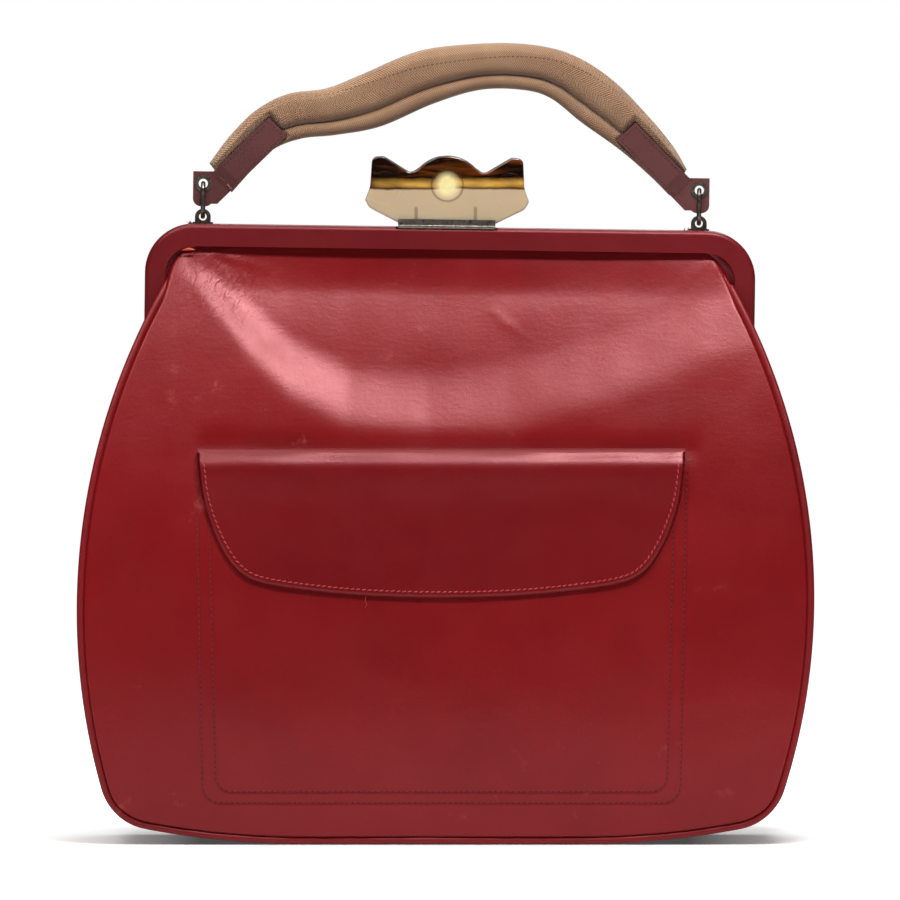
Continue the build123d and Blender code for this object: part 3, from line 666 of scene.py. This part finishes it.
def handle_lines():
    """The handle's middle line in the front view, and half the way across it at each point."""
    upper, lower = spline(HANDLE_UPPER, HANDLE_ROWS), spline(HANDLE_LOWER, HANDLE_ROWS)
    return (upper + lower) / 2, (upper - lower) / 2


def tape_swell(middle, half):
    """How full the tape is along its length: less where it is narrow and at its ends."""
    count = len(middle)
    k = np.arange(count)
    end = np.clip(np.minimum(k, count - 1 - k) / 7.0, 0, 1)
    close = np.sqrt(1 - (1 - end) ** 2) * 0.55 + 0.45
    full = 0.62 + 0.38 * np.minimum(1.0, np.linalg.norm(half, axis=1) / HANDLE_HALF_WIDTH)
    return full * (1 + 0.04 * np.sin(lengths(middle) * 0.11)) * close


def tape():
    """The folded herringbone tape, pressed flat under the leather tabs."""
    middle, half = handle_lines()
    swell = tape_swell(middle, half)
    run = lengths(middle)
    face = spline(TAPE_FACE, 61)
    loop = np.vstack([face, (face * [1, -1])[-2:0:-1]])
    across = lengths(np.vstack([loop, loop[:1]]) * [HANDLE_HALF_WIDTH, 1])[:-1]
    rings, uv = [], []
    for k in range(HANDLE_ROWS):
        x = middle[k, 0] + half[k, 0] * loop[:, 0]
        z = middle[k, 1] + half[k, 1] * loop[:, 0]
        y = -loop[:, 1] * swell[k]
        for side in (-1, 1):
            along, off = tab_place(side, x, z)
            out = np.maximum(np.abs(off) - TAB_HALF_WIDTH - 0.3, 0)
            out = np.maximum(out, np.maximum(along - TAB_REACH - 0.5, 0))
            limit = TAB_BED + 1.6 * out + np.where(along < -20, 50, 0)
            y = np.sign(y) * np.minimum(np.abs(y), limit)
        rings.append(points_of(x, LUG_Y + y, z))
        uv.append(points_of(np.full(len(loop), run[k]), across))
    return swept("handle_webbing", np.array(rings)[:, ::-1], np.array(uv)[:, ::-1].reshape(-1, 2))


def tape_stitches():
    """The sewn line along the tape's fold, seen on its front and its back."""
    middle, half = handle_lines()
    made = []
    s = np.linspace(0, 1, HANDLE_ROWS)[:, None]
    place = 0.36 + 0.42 * smooth(np.abs(s - 0.53) / 0.34)
    seen = slice(30, -24)
    line = (middle + half * place)[seen]
    heights = np.array(TAPE_FACE)[::-1]
    proud = np.interp(place[:, 0], heights[:, 0], heights[:, 1])
    proud = (proud * tape_swell(middle, half))[seen]
    for name, sign in (("front", -1), ("back", 1)):

        def depth(x, z, sign=sign):
            nearest = np.argmin(np.hypot(line[:, 0] - x, line[:, 1] - z))
            return LUG_Y + sign * proud[nearest]

        made.append(stitches("tape_seam_" + name, line, depth, 0.24, 1.6, 2.2))
    return made


def tab_stitches(side, face):
    """The sewn line just inside a tab's edge."""
    origin, along, across = tab_axes(side)
    half, far, near = TAB_HALF_WIDTH - 1.5, TAB_REACH - 1.6, 13.0
    corners = [a * along + b * across for a, b in ((near, half), (far, half), (far, -half), (near, -half))]
    path = resample(np.array(corners) + origin, 300)
    level = LUG_Y + face * 4.55
    name = f"tab_stitches_{'right' if side > 0 else 'left'}_{'front' if face < 0 else 'back'}"
    return stitches(name, path, lambda x, z: level, 0.2, 1.5, 2.2)


def ornament():
    """One smooth acetate body made from the two CAD halves."""
    name = "ornament_acetate"
    nodes = ("ornament_tortoiseshell", "ornament_cream")
    body = joined([placed(name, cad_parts[node].data.copy()) for node in nodes], name)
    apply(body, "REMESH", mode="VOXEL", voxel_size=0.42 * MM, use_smooth_shade=True)
    apply(body, "SMOOTH", factor=0.5, iterations=4)
    return body


def apply(thing, kind, **settings):
    """Puts one modifier on an object and makes its result the mesh."""
    modifier = thing.modifiers.new(kind.lower(), kind)
    for key, value in settings.items():
        setattr(modifier, key, value)
    bpy.context.view_layer.objects.active = thing
    bpy.ops.object.modifier_apply(modifier=modifier.name)


def lining_sheet(name, sign):
    """The cloth between the CAD lining's top and the frame, on one face of the bag."""
    rows = []
    for z in np.linspace(*LINING_Z, 60):
        w = float(side_x(z)) - 7.5 - 4.0 * smooth((z - 240) / 20)
        x = np.linspace(-w, w, 120)
        level = np.full_like(x, z)
        pleat = 0.5 * np.sin(x * 0.33) * smooth((z - 200) / 40) + 0.5 * soft_noise(x, level, 45, 17)
        y = sign * (front_y(level) - 3.6 - sag(x, level) + pleat * 0.4)
        lx, lz = leaned(x, level)
        rows.append(points_of(lx, y, lz))
    points = np.array(rows)
    return mesh(name, points.reshape(-1, 3), grid_faces(*points.shape[:2]))


def thread(name, points, radius):
    """A thin loose strand."""
    path = spline(points, 26)
    tangent = np.gradient(path, axis=0)
    rings = []
    for p, t in zip(path, tangent):
        t = t / np.linalg.norm(t)
        side = np.cross(t, [0, 1, 0.01])
        side /= np.linalg.norm(side)
        up = np.cross(side, t)
        rings.append([p + radius * (side * math.cos(a) + up * math.sin(a))
                      for a in round_angles(6)])
    return swept(name, np.array(rings))


def torn_corner():
    """The small lifted lip of raw leather at the left shoulder."""
    rows = []
    for t in np.linspace(0, 1, 15):
        half = 0.6 * math.sin(math.pi * t) + 0.05
        x = -130.2 + 7.0 * t
        row = [(x, -11.4 - 0.5 * math.sin(3 * t + s), 290.6 + 0.7 * math.sin(2.5 * t) + s * half)
               for s in np.linspace(-1, 1, 7)]
        rows.append(row)
    return sheet_mesh("torn_corner", np.array(rows), 0.4, (0, 1, 0))


def fray(name, x, z, lean):
    """A tuft of leather fibre squeezed out beside a lug."""
    points, faces = [], []
    for k in range(5):
        a = math.radians(lean + rng.uniform(-35, 35))
        size = rng.uniform(1.2, 2.4)
        base = np.array([x + rng.uniform(-1.2, 1.2), 1.0 + rng.uniform(-1.5, 1.5), z])
        tip = base + size * np.array([math.cos(a), rng.uniform(-0.3, 0.3), math.sin(a)])
        start = len(points)
        for c in range(5):
            b = 2 * math.pi * c / 5
            points.append(base + 0.45 * np.array([math.cos(b), math.sin(b), 0]))
        points.append(tip)
        faces += [[start + c, start + (c + 1) % 5, start + 5] for c in range(5)]
        faces.append([start + c for c in range(5)][::-1])
    return mesh(name, points, faces)


class Nodes:
    """A node tree with short ways to add and join nodes."""

    def __init__(self, tree):
        self.tree = tree

    def feed(self, socket, value):
        if isinstance(value, bpy.types.NodeSocket):
            self.tree.links.new(value, socket)
        else:
            socket.default_value = value

    def put(self, node, **sockets):
        for key, value in sockets.items():
            self.feed(node.inputs[key.replace("_", " ")], value)

    def node(self, kind, settings=None, **sockets):
        node = self.tree.nodes.new("ShaderNode" + kind)
        for key, value in (settings or {}).items():
            setattr(node, key, value)
        self.put(node, **sockets)
        return node

    def math(self, operation, a, b=0.0, c=0.0):
        node = self.node("Math", {"operation": operation})
        for socket, value in zip(node.inputs, (a, b, c)):
            self.feed(socket, value)
        return node.outputs[0]

    def product(self, a, b):
        return self.math("MULTIPLY", a, b)

    def distance(self, a, b):
        """How far two offsets reach together."""
        return self.math("SQRT", self.math("ADD", self.product(a, a), self.product(b, b)))

    def from_line(self, value, level):
        """How far a value is from a level, on either side."""
        return self.math("ABSOLUTE", self.math("SUBTRACT", value, level))

    def place(self, scale=(1, 1, 1)):
        coords = self.node("TexCoord").outputs["Object"]
        return self.node("Mapping", Vector=coords, Scale=scale).outputs[0]

    def xyz(self, kind="Object"):
        return self.node("SeparateXYZ", Vector=self.node("TexCoord").outputs[kind]).outputs[:3]

    def noise(self, scale, detail=3.0, rough=0.55, stretch=(1, 1, 1), distortion=0.0):
        node = self.node("TexNoise", Vector=self.place(stretch), Scale=scale, Detail=detail,
                         Roughness=rough, Distortion=distortion)
        return node.outputs[0]

    def between(self, value, low, high, to_low=0.0, to_high=1.0):
        node = self.node("MapRange", Value=value)
        for socket, level in zip(node.inputs[1:5], (low, high, to_low, to_high)):
            socket.default_value = level
        return node.outputs[0]

    def mix(self, factor, a, b):
        node = self.node("Mix", {"data_type": "RGBA"})
        for socket, value in zip((node.inputs[0], node.inputs[6], node.inputs[7]), (factor, a, b)):
            self.feed(socket, value)
        return node.outputs[2]

    def blended(self, factor, first, second, output):
        """Two surfaces or lights mixed, and sent to the tree's output."""
        node = self.node("MixShader", Fac=factor)
        self.feed(node.inputs[1], first.outputs[0])
        self.feed(node.inputs[2], second.outputs[0])
        self.feed(self.tree.nodes[output].inputs[0], node.outputs[0])


class Shader(Nodes):
    """A material whose bumps add up on one surface."""

    def __init__(self, name, **sockets):
        self.material = bpy.data.materials.new(name)
        self.material.use_nodes = True
        super().__init__(self.material.node_tree)
        self.surface = self.tree.nodes["Principled BSDF"]
        self.put(self.surface, **sockets)
        self.bumps = None

    def bump(self, height, distance, strength=1.0):
        node = self.node("Bump", Height=height, Strength=strength, Distance=distance)
        if self.bumps is not None:
            self.put(node, Normal=self.bumps)
        self.bumps = node.outputs[0]
        self.put(self.surface, Normal=self.bumps)


def rgba(r, g, b):
    return (r, g, b, 1.0)


RED_DARK = rgba(0.110, 0.0035, 0.005)
RED_MID = rgba(0.188, 0.0050, 0.0070)
RED_LIGHT = rgba(0.235, 0.0075, 0.0095)
RED_SCUFF = rgba(0.62, 0.16, 0.14)
THREAD_RED = rgba(0.44, 0.036, 0.042)


def leather(name, dark=RED_DARK, mid=RED_MID, light=RED_LIGHT, rough=0.31, scuffs=0.5, grain=1.0):
    """Glazed calf: mottled dye, fine pores, long soft creases and a few rubbed spots."""
    s = Shader(name, Specular_IOR_Level=0.58, Specular_Tint=rgba(1.0, 0.45, 0.47), Coat_Weight=0.03,
               Coat_Roughness=0.28)
    cloud = s.between(s.noise(9, 4, 0.6, distortion=0.6), 0.30, 0.72)
    colour = s.mix(cloud, mid, light)
    stain = s.between(s.noise(20, 4, 0.55), 0.50, 0.85, 0, 0.40)
    colour = s.mix(stain, colour, dark)
    pores = s.node("TexVoronoi", {"feature": "DISTANCE_TO_EDGE"}, Vector=s.place(), Scale=900.0).outputs[0]
    colour = s.mix(s.between(pores, 0.0, 0.12, 0.16, 0.0), colour, dark)
    rub = s.product(s.between(s.noise(70, 6, 0.7), 0.62, 0.74), s.between(s.noise(14, 2), 0.50, 0.66))
    rub = s.product(rub, scuffs)
    colour = s.mix(rub, colour, RED_SCUFF if light == RED_LIGHT else light)
    gloss = s.between(s.noise(35, 4, 0.6), 0.3, 0.7, rough - 0.03, rough + 0.05)
    s.put(s.surface, Base_Color=colour, Roughness=gloss)
    scratch = s.noise(170, 2, 0.5, stretch=(0.35, 1, 1), distortion=1.8)
    s.bump(s.between(scratch, 0.44, 0.56), 0.00003 * grain, 0.35)
    s.bump(s.noise(60, 5, 0.6, stretch=(1, 1, 1.4)), 0.0005 * grain, 0.12)
    s.bump(s.noise(420, 3, 0.6), 0.00010 * grain, 0.5)
    s.bump(pores, 0.00008 * grain, 0.4)
    return s


def seam_shade(s, half_top, half_low, top, low, corner, colour):
    """A pressed line under a U-shaped seam of the pocket, darkened with painted shade."""
    x, _, z = s.xyz()
    ax = s.from_line(x, POCKET_X * MM)
    slope = (half_top - half_low) / (top - low)
    half = s.math("MULTIPLY_ADD", z, slope, (half_low - slope * low) * MM)
    qx = s.math("SUBTRACT", ax, s.math("SUBTRACT", half, corner * MM))
    qz = s.math("SUBTRACT", (low + corner) * MM, z)
    outside = s.distance(s.math("MAXIMUM", qx, 0.0), s.math("MAXIMUM", qz, 0.0))
    inside = s.math("MINIMUM", s.math("MAXIMUM", qx, qz), 0.0)
    off = s.from_line(s.math("ADD", outside, inside), corner * MM)
    line = s.between(off, 0.1 * MM, 1.3 * MM, 1.0, 0.0)
    line = s.product(line, s.between(z, (top + 0.5) * MM, (top + 1.5) * MM, 1.0, 0.0))
    s.bump(s.product(line, -1.0), 0.0003, 0.5)
    return s.mix(s.product(line, 0.12), colour, RED_DARK)


def front_leather_material():
    """The leather, with pressed lines under the pocket's seams and creases at the shoulder."""
    s = leather("front leather", scuffs=0.32)
    colour = s.surface.inputs["Base Color"].links[0].from_socket
    for seam in (OUTER_SEAM, INNER_SEAM):
        colour = seam_shade(s, *seam, colour)
    s.put(s.surface, Base_Color=colour)
    shoulder_creases(s)
    return s


def shoulder_creases(s):
    """Fine creases that run down and to the right from the left shoulder."""
    x, _, z = s.xyz()
    dx, dz = s.math("SUBTRACT", x, -0.112), s.math("SUBTRACT", z, 0.276)
    far = s.distance(dx, dz)
    coords = s.node("TexCoord").outputs["Object"]
    turned = s.node("Mapping", Vector=coords, Rotation=(0, math.radians(-32), 0)).outputs[0]
    drawn = s.node("Mapping", Vector=turned, Scale=(1, 1, 0.14)).outputs[0]
    lines = s.node("TexNoise", Vector=drawn, Scale=330.0, Detail=2.0, Distortion=0.4).outputs[0]
    crease = s.product(s.between(lines, 0.40, 0.60), s.between(far, 0.006, 0.034, 1.0, 0.0))
    s.bump(crease, 0.0003, 0.30)


def cloth(name, base, dark):
    """Plainly woven lining cloth."""
    s = Shader(name, Roughness=0.9, Specular_IOR_Level=0.2)
    wave = s.node("TexWave", {"wave_type": "BANDS"}, Vector=s.place(), Scale=420.0, Distortion=0.4)
    weave = wave.outputs[1]
    s.put(s.surface, Base_Color=s.mix(s.product(weave, 0.5), base, dark))
    s.bump(weave, 0.0001)
    return s


def webbing():
    """Herringbone: fine twill lines that change direction from band to band, with painted shade in the
    folds and on the faces that look down.
    """
    s = Shader("webbing", Roughness=0.85, Specular_IOR_Level=0.22, Sheen_Weight=0.25)
    run = s.node("SeparateXYZ", Vector=s.node("UVMap", {"uv_map": "run"}).outputs[0]).outputs
    zigzag = s.math("PINGPONG", run[1], TAPE_BAND)
    phase = s.math("ADD", run[0], s.product(zigzag, 0.9))
    twill = s.math("SINE", s.product(phase, 2 * math.pi / TWILL_PITCH))
    cross = s.math("SINE", s.product(s.math("SUBTRACT", phase, s.product(zigzag, 2.4)), 6.4))
    height = s.math("MULTIPLY_ADD", cross, 0.28, twill)
    soil = s.between(s.noise(30, 4, 0.6), 0.36, 0.70)
    light, mid, dark = rgba(0.64, 0.39, 0.225), rgba(0.48, 0.265, 0.145), rgba(0.19, 0.085, 0.042)
    colour = s.mix(soil, light, mid)
    colour = s.mix(s.between(height, -1.1, 0.3, 0.85, 0.0), colour, dark)
    # Painted shade: darker where ambient occlusion finds the tape's folds and hollows.
    openness = s.node("AmbientOcclusion", {"samples": 6}, Distance=0.006).outputs[1]
    colour = s.mix(s.between(openness, 0.25, 0.85, 0.75, 0.0), colour, rgba(0.10, 0.045, 0.025))
    # Painted shade on the faces that look down, as if the light falls from above.
    up = s.xyz("Normal")[2]
    colour = s.mix(s.between(up, -0.6, 0.4, 0.68, 0.0), colour, rgba(0.15, 0.070, 0.040))
    s.put(s.surface, Base_Color=colour)
    s.bump(height, 0.00022, 0.9)
    return s


def gunmetal():
    """Dark nickel, worn unevenly."""
    s = Shader("dark nickel", Metallic=1.0)
    wear = s.between(s.noise(420, 5, 0.65), 0.36, 0.72)
    s.put(s.surface, Base_Color=s.mix(wear, rgba(0.17, 0.145, 0.120), rgba(0.30, 0.265, 0.225)))
    s.put(s.surface, Roughness=s.between(s.noise(600, 3), 0.3, 0.7, 0.24, 0.46))
    s.bump(s.noise(900, 4, 0.7), 0.00004, 0.5)
    return s


def acetate():
    """Streaked tortoiseshell above and milky cream below, with a painted pale glow in the boss."""
    s = Shader("acetate", Roughness=0.16, Specular_IOR_Level=0.5, Coat_Weight=0.6, Coat_Roughness=0.08,
               Subsurface_Weight=0.75, Subsurface_Radius=(1.0, 0.8, 0.5), Subsurface_Scale=0.010)
    x, _, z = s.xyz()
    cz = seat(CLASP_X, ORNAMENT_SPLIT)[1] * MM
    warp = s.math("MULTIPLY_ADD", s.noise(60, 3), 0.006, -0.003)
    level = s.math("ADD", s.math("SUBTRACT", z, cz), s.product(warp, 0.45))
    streak = s.noise(150, 5, 0.6, stretch=(0.16, 0.4, 1.15), distortion=0.9)
    brown = s.mix(s.between(streak, 0.48, 0.72), rgba(0.012, 0.004, 0.002), rgba(0.22, 0.050, 0.006))
    amber = s.mix(s.between(streak, 0.35, 0.60), rgba(0.62, 0.26, 0.02), rgba(0.86, 0.58, 0.14))
    band = s.product(s.between(level, 0.0002, 0.0014), s.between(level, 0.0028, 0.0056, 1.0, 0.0))
    gaps = s.between(s.noise(70, 2, 0.5, stretch=(0.5, 1, 1)), 0.34, 0.56, 0.12, 1.0)
    band = s.product(band, gaps)
    shell = s.mix(band, brown, amber)
    # Painted sheen: the tortoiseshell turns grey where its faces look up, as under the light from above.
    up = s.xyz("Normal")[2]
    shell = s.mix(s.between(up, 0.25, 0.75, 0.0, 0.8), shell, rgba(0.15, 0.12, 0.105))
    cream = s.mix(s.noise(30, 3), rgba(0.71, 0.57, 0.39), rgba(0.63, 0.49, 0.32))
    # Painted shade of the pins, seen through the cream below the boss.
    below = s.between(z, 0.3115, 0.3125, 1.0, 0.0)
    for pin in PIN_PLACES:
        off = s.from_line(x, pin * MM)
        shade = s.product(s.between(off, 0.0006, 0.0011, 0.55, 0.0), below)
        cream = s.mix(shade, cream, rgba(0.22, 0.17, 0.11))
    colour = s.mix(s.between(level, -0.0002, 0.0003), cream, shell)
    line = s.between(s.math("ABSOLUTE", level), 0.0001, 0.0006, 0.55, 0.0)
    colour = s.mix(line, colour, rgba(0.10, 0.03, 0.008))
    # Painted light: a pale glow in the boss, as of light shining through it from behind.
    bx, bz = (v * MM for v in seat(CLASP_X, BOSS_HEIGHT))
    far = s.distance(s.math("SUBTRACT", x, bx), s.math("SUBTRACT", z, bz))
    painted_glow = s.between(far, BOSS_RADIUS * 0.45 * MM, BOSS_RADIUS * 0.95 * MM, 1.0, 0.0)
    spots = s.noise(90, 3, 0.5, stretch=(1, 1, 1.6))
    painted_glow = s.product(painted_glow, s.between(spots, 0.25, 0.55, 0.6, 1.0))
    colour = s.mix(painted_glow, colour, rgba(0.98, 0.86, 0.46))
    ring = s.between(s.from_line(far, BOSS_RADIUS * MM), 0.0002, 0.0007, 0.5, 0.0)
    colour = s.mix(ring, colour, rgba(0.12, 0.05, 0.015))
    # The piece emits its own colour faintly and the boss more strongly: painted glow.
    s.put(s.surface, Base_Color=colour, Emission_Color=colour,
          Emission_Strength=s.math("MULTIPLY_ADD", painted_glow, 0.25, 0.04))
    glass = s.node("BsdfTranslucent", Color=colour)
    s.blended(0.25, s.surface, glass, "Material Output")
    return s


def plain(name, colour, rough=0.7):
    return Shader(name, Base_Color=colour, Roughness=rough)


def give(thing, shader):
    """Puts one material on a piece."""
    thing.data.materials.clear()
    thing.data.materials.append(shader.material)


def build_leather(made):
    front = panel("front_leather", -1)
    cut_slot(front)
    give(front, made["front"])
    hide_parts("front_panel", "front_panel_top")
    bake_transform(front)
    back = panel("back_leather", 1)
    give(back, made["leather"])
    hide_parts("back_panel")
    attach(back, "bag")
    edge = welt("front_edging", -1)
    give(edge, made["edging"])
    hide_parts("front_welt", "front_welt_ends")
    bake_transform(edge)
    back_edge = welt("back_edging", 1)
    give(back_edge, made["edging"])
    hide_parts("back_welt")
    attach(back_edge, "bag")
    side = gusset()
    give(side, made["leather"])
    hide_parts("gusset")
    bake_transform(side)
    for name, sign, body in (("front_gusset_ends", -1, "front_frame"), ("back_gusset_ends", 1, "bag")):
        ends = shoulders(name, sign)
        # The gusset's ends take a darker copy of the leather: painted shade in the frame's corners.
        give(ends, made["shaded_leather"])
        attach(ends, body)


def build_pocket(made):
    cover = flap()
    give(cover, made["flap"])
    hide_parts("pocket_flap")
    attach(cover, "flap")
    edge = flap_edge(700)
    path = inset_path(edge, STITCH_INSET)
    path = path[(path[:, 1] < FLAP_ROLL_Z - 4)]
    row = stitches("flap_stitches", path, lambda x, z: flap_surface(x, z) - 0.12, 0.38, 2.1, slant=0.26)
    give(row, made["thread_light"])
    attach(row, "flap")
    for name, seam in (("pocket_seam_outer", OUTER_SEAM), ("pocket_seam_inner", INNER_SEAM)):
        row = stitches(name, seam_path(*seam), panel_surface, slant=0.12)
        give(row, made["thread"])
        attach(row, "bag")
        # Dark marks between the stitches: painted shade in the needle holes.
        hole_shades = stitches(name + "_holes", seam_path(*seam), panel_surface, 0.35, 0.75, phase=0.0)
        give(hole_shades, made["hole"])
        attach(hole_shades, "bag")
    strand = thread("loose_thread", [(-38.8, -53.6, 122.0), (-39.4, -54.4, 119.6), (-38.6, -54.6, 117.6),
                                     (-39.6, -54.0, 116.0)], 0.16)
    give(strand, made["thread_light"])
    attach(strand, "flap")


def build_handle(made):
    body = tape()
    give(body, made["webbing"])
    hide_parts("handle_tape", "handle_padding")
    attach(body, "handle")
    for row in tape_stitches():
        give(row, made["thread_tape"])
        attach(row, "handle")
    for side in (-1, 1):
        for face in (-1, 1):
            row = tab_stitches(side, face)
            give(row, made["thread_dark"])
            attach(row, "handle")


def build_rest(made):
    jewel = ornament()
    give(jewel, made["acetate"])
    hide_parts("ornament_tortoiseshell", "ornament_cream")
    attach(jewel, "clasp")
    for name, sign in (("front_lining", -1), ("back_lining", 1)):
        cloth_sheet = lining_sheet(name, sign)
        give(cloth_sheet, made["lining"])
        if sign < 0:
            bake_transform(cloth_sheet)
        else:
            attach(cloth_sheet, "bag")
    lip = torn_corner()
    give(lip, made["raw"])
    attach(lip, "front_frame")
    for name, u, lean in (("fray_left", -LUG_X - 5.6, 120), ("fray_right", LUG_X - 6.2, 60)):
        x, z = seat(u, FRAME_TOP - 0.2)
        tuft = fray(name, x, z, lean)
        give(tuft, made["frame_leather"])
        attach(tuft, "bag")


def dress_nodes(made):
    """Finishes for the CAD pieces that are shown as they are."""
    sides = ("left", "right")
    fittings = [f"{side}_{part}" for side in sides for part in ("hinge_rivet", "lug", "link", "eyelet")]
    finishes = {
        "frame_leather": ["front_frame_cover", "back_frame_cover"],
        "metal": ["front_frame_core", "back_frame_core", "clasp_base", "clasp_hinge_pin", "clasp_channel",
                  "clasp_keeper", "ornament_pins"] + fittings,
        "brown": [f"{side}_tab_{face}" for side in sides for face in ("front", "back")],
        "lining": ["lining"],
        "board": ["base_board"],
        "leather": ["pocket_backing"],
    }
    for key, names in finishes.items():
        for name in names:
            give(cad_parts[name], made[key])


def materials():
    return {
        "front": front_leather_material(),
        "leather": leather("leather"),
        # A darker copy of the leather for the gusset's ends: painted shade.
        "shaded_leather": leather("shaded inner leather", mid=rgba(0.16, 0.006, 0.010),
                                light=rgba(0.19, 0.008, 0.012)),
        # The edging's darker mid tone is painted shade of its groove side.
        "edging": leather("edging leather", mid=rgba(0.160, 0.0065, 0.0095), rough=0.42),
        "flap": leather("flap leather", mid=rgba(0.150, 0.0048, 0.0065), light=rgba(0.195, 0.0070, 0.009)),
        "frame_leather": leather("frame leather", mid=rgba(0.125, 0.0050, 0.0075),
                                 light=rgba(0.165, 0.0080, 0.0110), rough=0.36, scuffs=0.35),
        "brown": leather("brown leather", dark=rgba(0.025, 0.009, 0.009), mid=rgba(0.070, 0.022, 0.022),
                         light=rgba(0.125, 0.046, 0.044), rough=0.62, scuffs=0.9, grain=1.6),
        "thread": plain("thread", rgba(0.21, 0.007, 0.011), 0.8),
        # Painted shade of the needle holes.
        "hole": plain("needle hole shade", rgba(0.060, 0.003, 0.005), 0.9),
        "thread_light": plain("lighter thread", THREAD_RED, 0.75),
        "thread_tape": plain("tape thread", rgba(0.16, 0.075, 0.04), 0.85),
        "thread_dark": plain("dark thread", rgba(0.05, 0.022, 0.02), 0.8),
        "webbing": webbing(),
        "metal": gunmetal(),
        "acetate": acetate(),
        "lining": cloth("lining", rgba(0.42, 0.31, 0.20), rgba(0.26, 0.18, 0.11)),
        "board": plain("board", rgba(0.20, 0.12, 0.07), 0.9),
        "raw": plain("raw leather", rgba(0.62, 0.075, 0.025), 0.7),
    }


def aimed(name, data, aim, azimuth, elevation, distance):
    """A lamp or camera in metres and degrees from its aim, where azimuth 0 is in front."""
    a, e = math.radians(azimuth), math.radians(elevation)
    way = Vector((math.sin(a) * math.cos(e), -math.cos(a) * math.cos(e), math.sin(e)))
    thing = placed(name, data)
    thing.location = Vector(aim) + way * distance
    thing.rotation_euler = way.to_track_quat("Z", "Y").to_euler()
    return thing


def area_light(name, azimuth, elevation, distance, size, power, aim):
    """A rectangular lamp."""
    data = bpy.data.lights.new(name, "AREA")
    data.shape = "RECTANGLE"
    data.size, data.size_y = size
    data.energy = power
    aimed(name, data, aim, azimuth, elevation, distance)


def floor_finish():
    """A pale floor that the camera sees as white, but darker in a painted shadow patch round the bag,
    where the lamps also cast its real shadow.
    """
    s = Shader("studio floor", Base_Color=rgba(0.90, 0.90, 0.90), Roughness=1.0, Specular_IOR_Level=0.0)
    x, y, _ = s.xyz()
    # Painted shadow: the camera's white fades near the bag and in a patch round it.
    before = s.math("MAXIMUM", s.math("SUBTRACT", -0.056, y), 0.0)
    behind = s.math("MAXIMUM", s.math("SUBTRACT", y, 0.10), 0.0)
    depth = s.math("MULTIPLY_ADD", before, 8.0, s.product(behind, 0.6))
    painted_shadow_patch = s.between(s.math("ADD", s.math("ABSOLUTE", x), depth), 0.12, 0.23, 0.10, 1.0)
    white = s.product(s.between(s.distance(x, y), 0.25, 0.70, 0.66, 1.0), painted_shadow_patch)
    seen = s.product(s.node("LightPath").outputs["Is Camera Ray"], white)
    s.put(s.surface, Emission_Color=rgba(1, 1, 1), Emission_Strength=seen)
    return s


def studio_floor():
    """A wide, flat floor under the bag."""
    signs = ((-1, -1), (1, -1), (1, 1), (-1, 1))
    corners = [(x * FLOOR_HALF, y * FLOOR_HALF, FLOOR_Z) for x, y in signs]
    floor = mesh("studio_floor", corners, [(0, 1, 2, 3)])
    give(floor, floor_finish())


def world_light():
    """A world that is white to the camera and dim as light, brighter behind than in front."""
    world = bpy.data.worlds.new("studio")
    bpy.context.scene.world = world
    world.use_nodes = True
    n = Nodes(world.node_tree)
    light = n.tree.nodes["Background"]
    n.put(light, Strength=n.between(n.xyz("Generated")[1], -0.9, 0.5, STUDIO_FRONT, STUDIO_BACK))
    seen = n.node("Background", Color=rgba(1, 1, 1), Strength=1.0)
    n.blended(n.node("LightPath").outputs["Is Camera Ray"], light, seen, "World Output")


def camera():
    """The photograph's view, from far away with a long lens."""
    data = bpy.data.cameras.new("camera")
    data.sensor_width = SENSOR_WIDTH
    data.lens = SENSOR_WIDTH * (CAMERA_DISTANCE - HALF_DEPTH) / VIEW_WIDTH
    data.clip_end = 50
    aim = Vector((VIEW_CENTRE[0], 0, VIEW_CENTRE[1])) * MM
    bpy.context.scene.camera = aimed("camera", data, aim, 0, CAMERA_ELEVATION, CAMERA_DISTANCE * MM)


made = materials()
build_leather(made)
build_pocket(made)
build_handle(made)
build_rest(made)
dress_nodes(made)
studio_floor()
world_light()
for lamp in LAMPS:
    area_light(*lamp)
camera()
bpy.context.scene.view_settings.view_transform = "Standard"
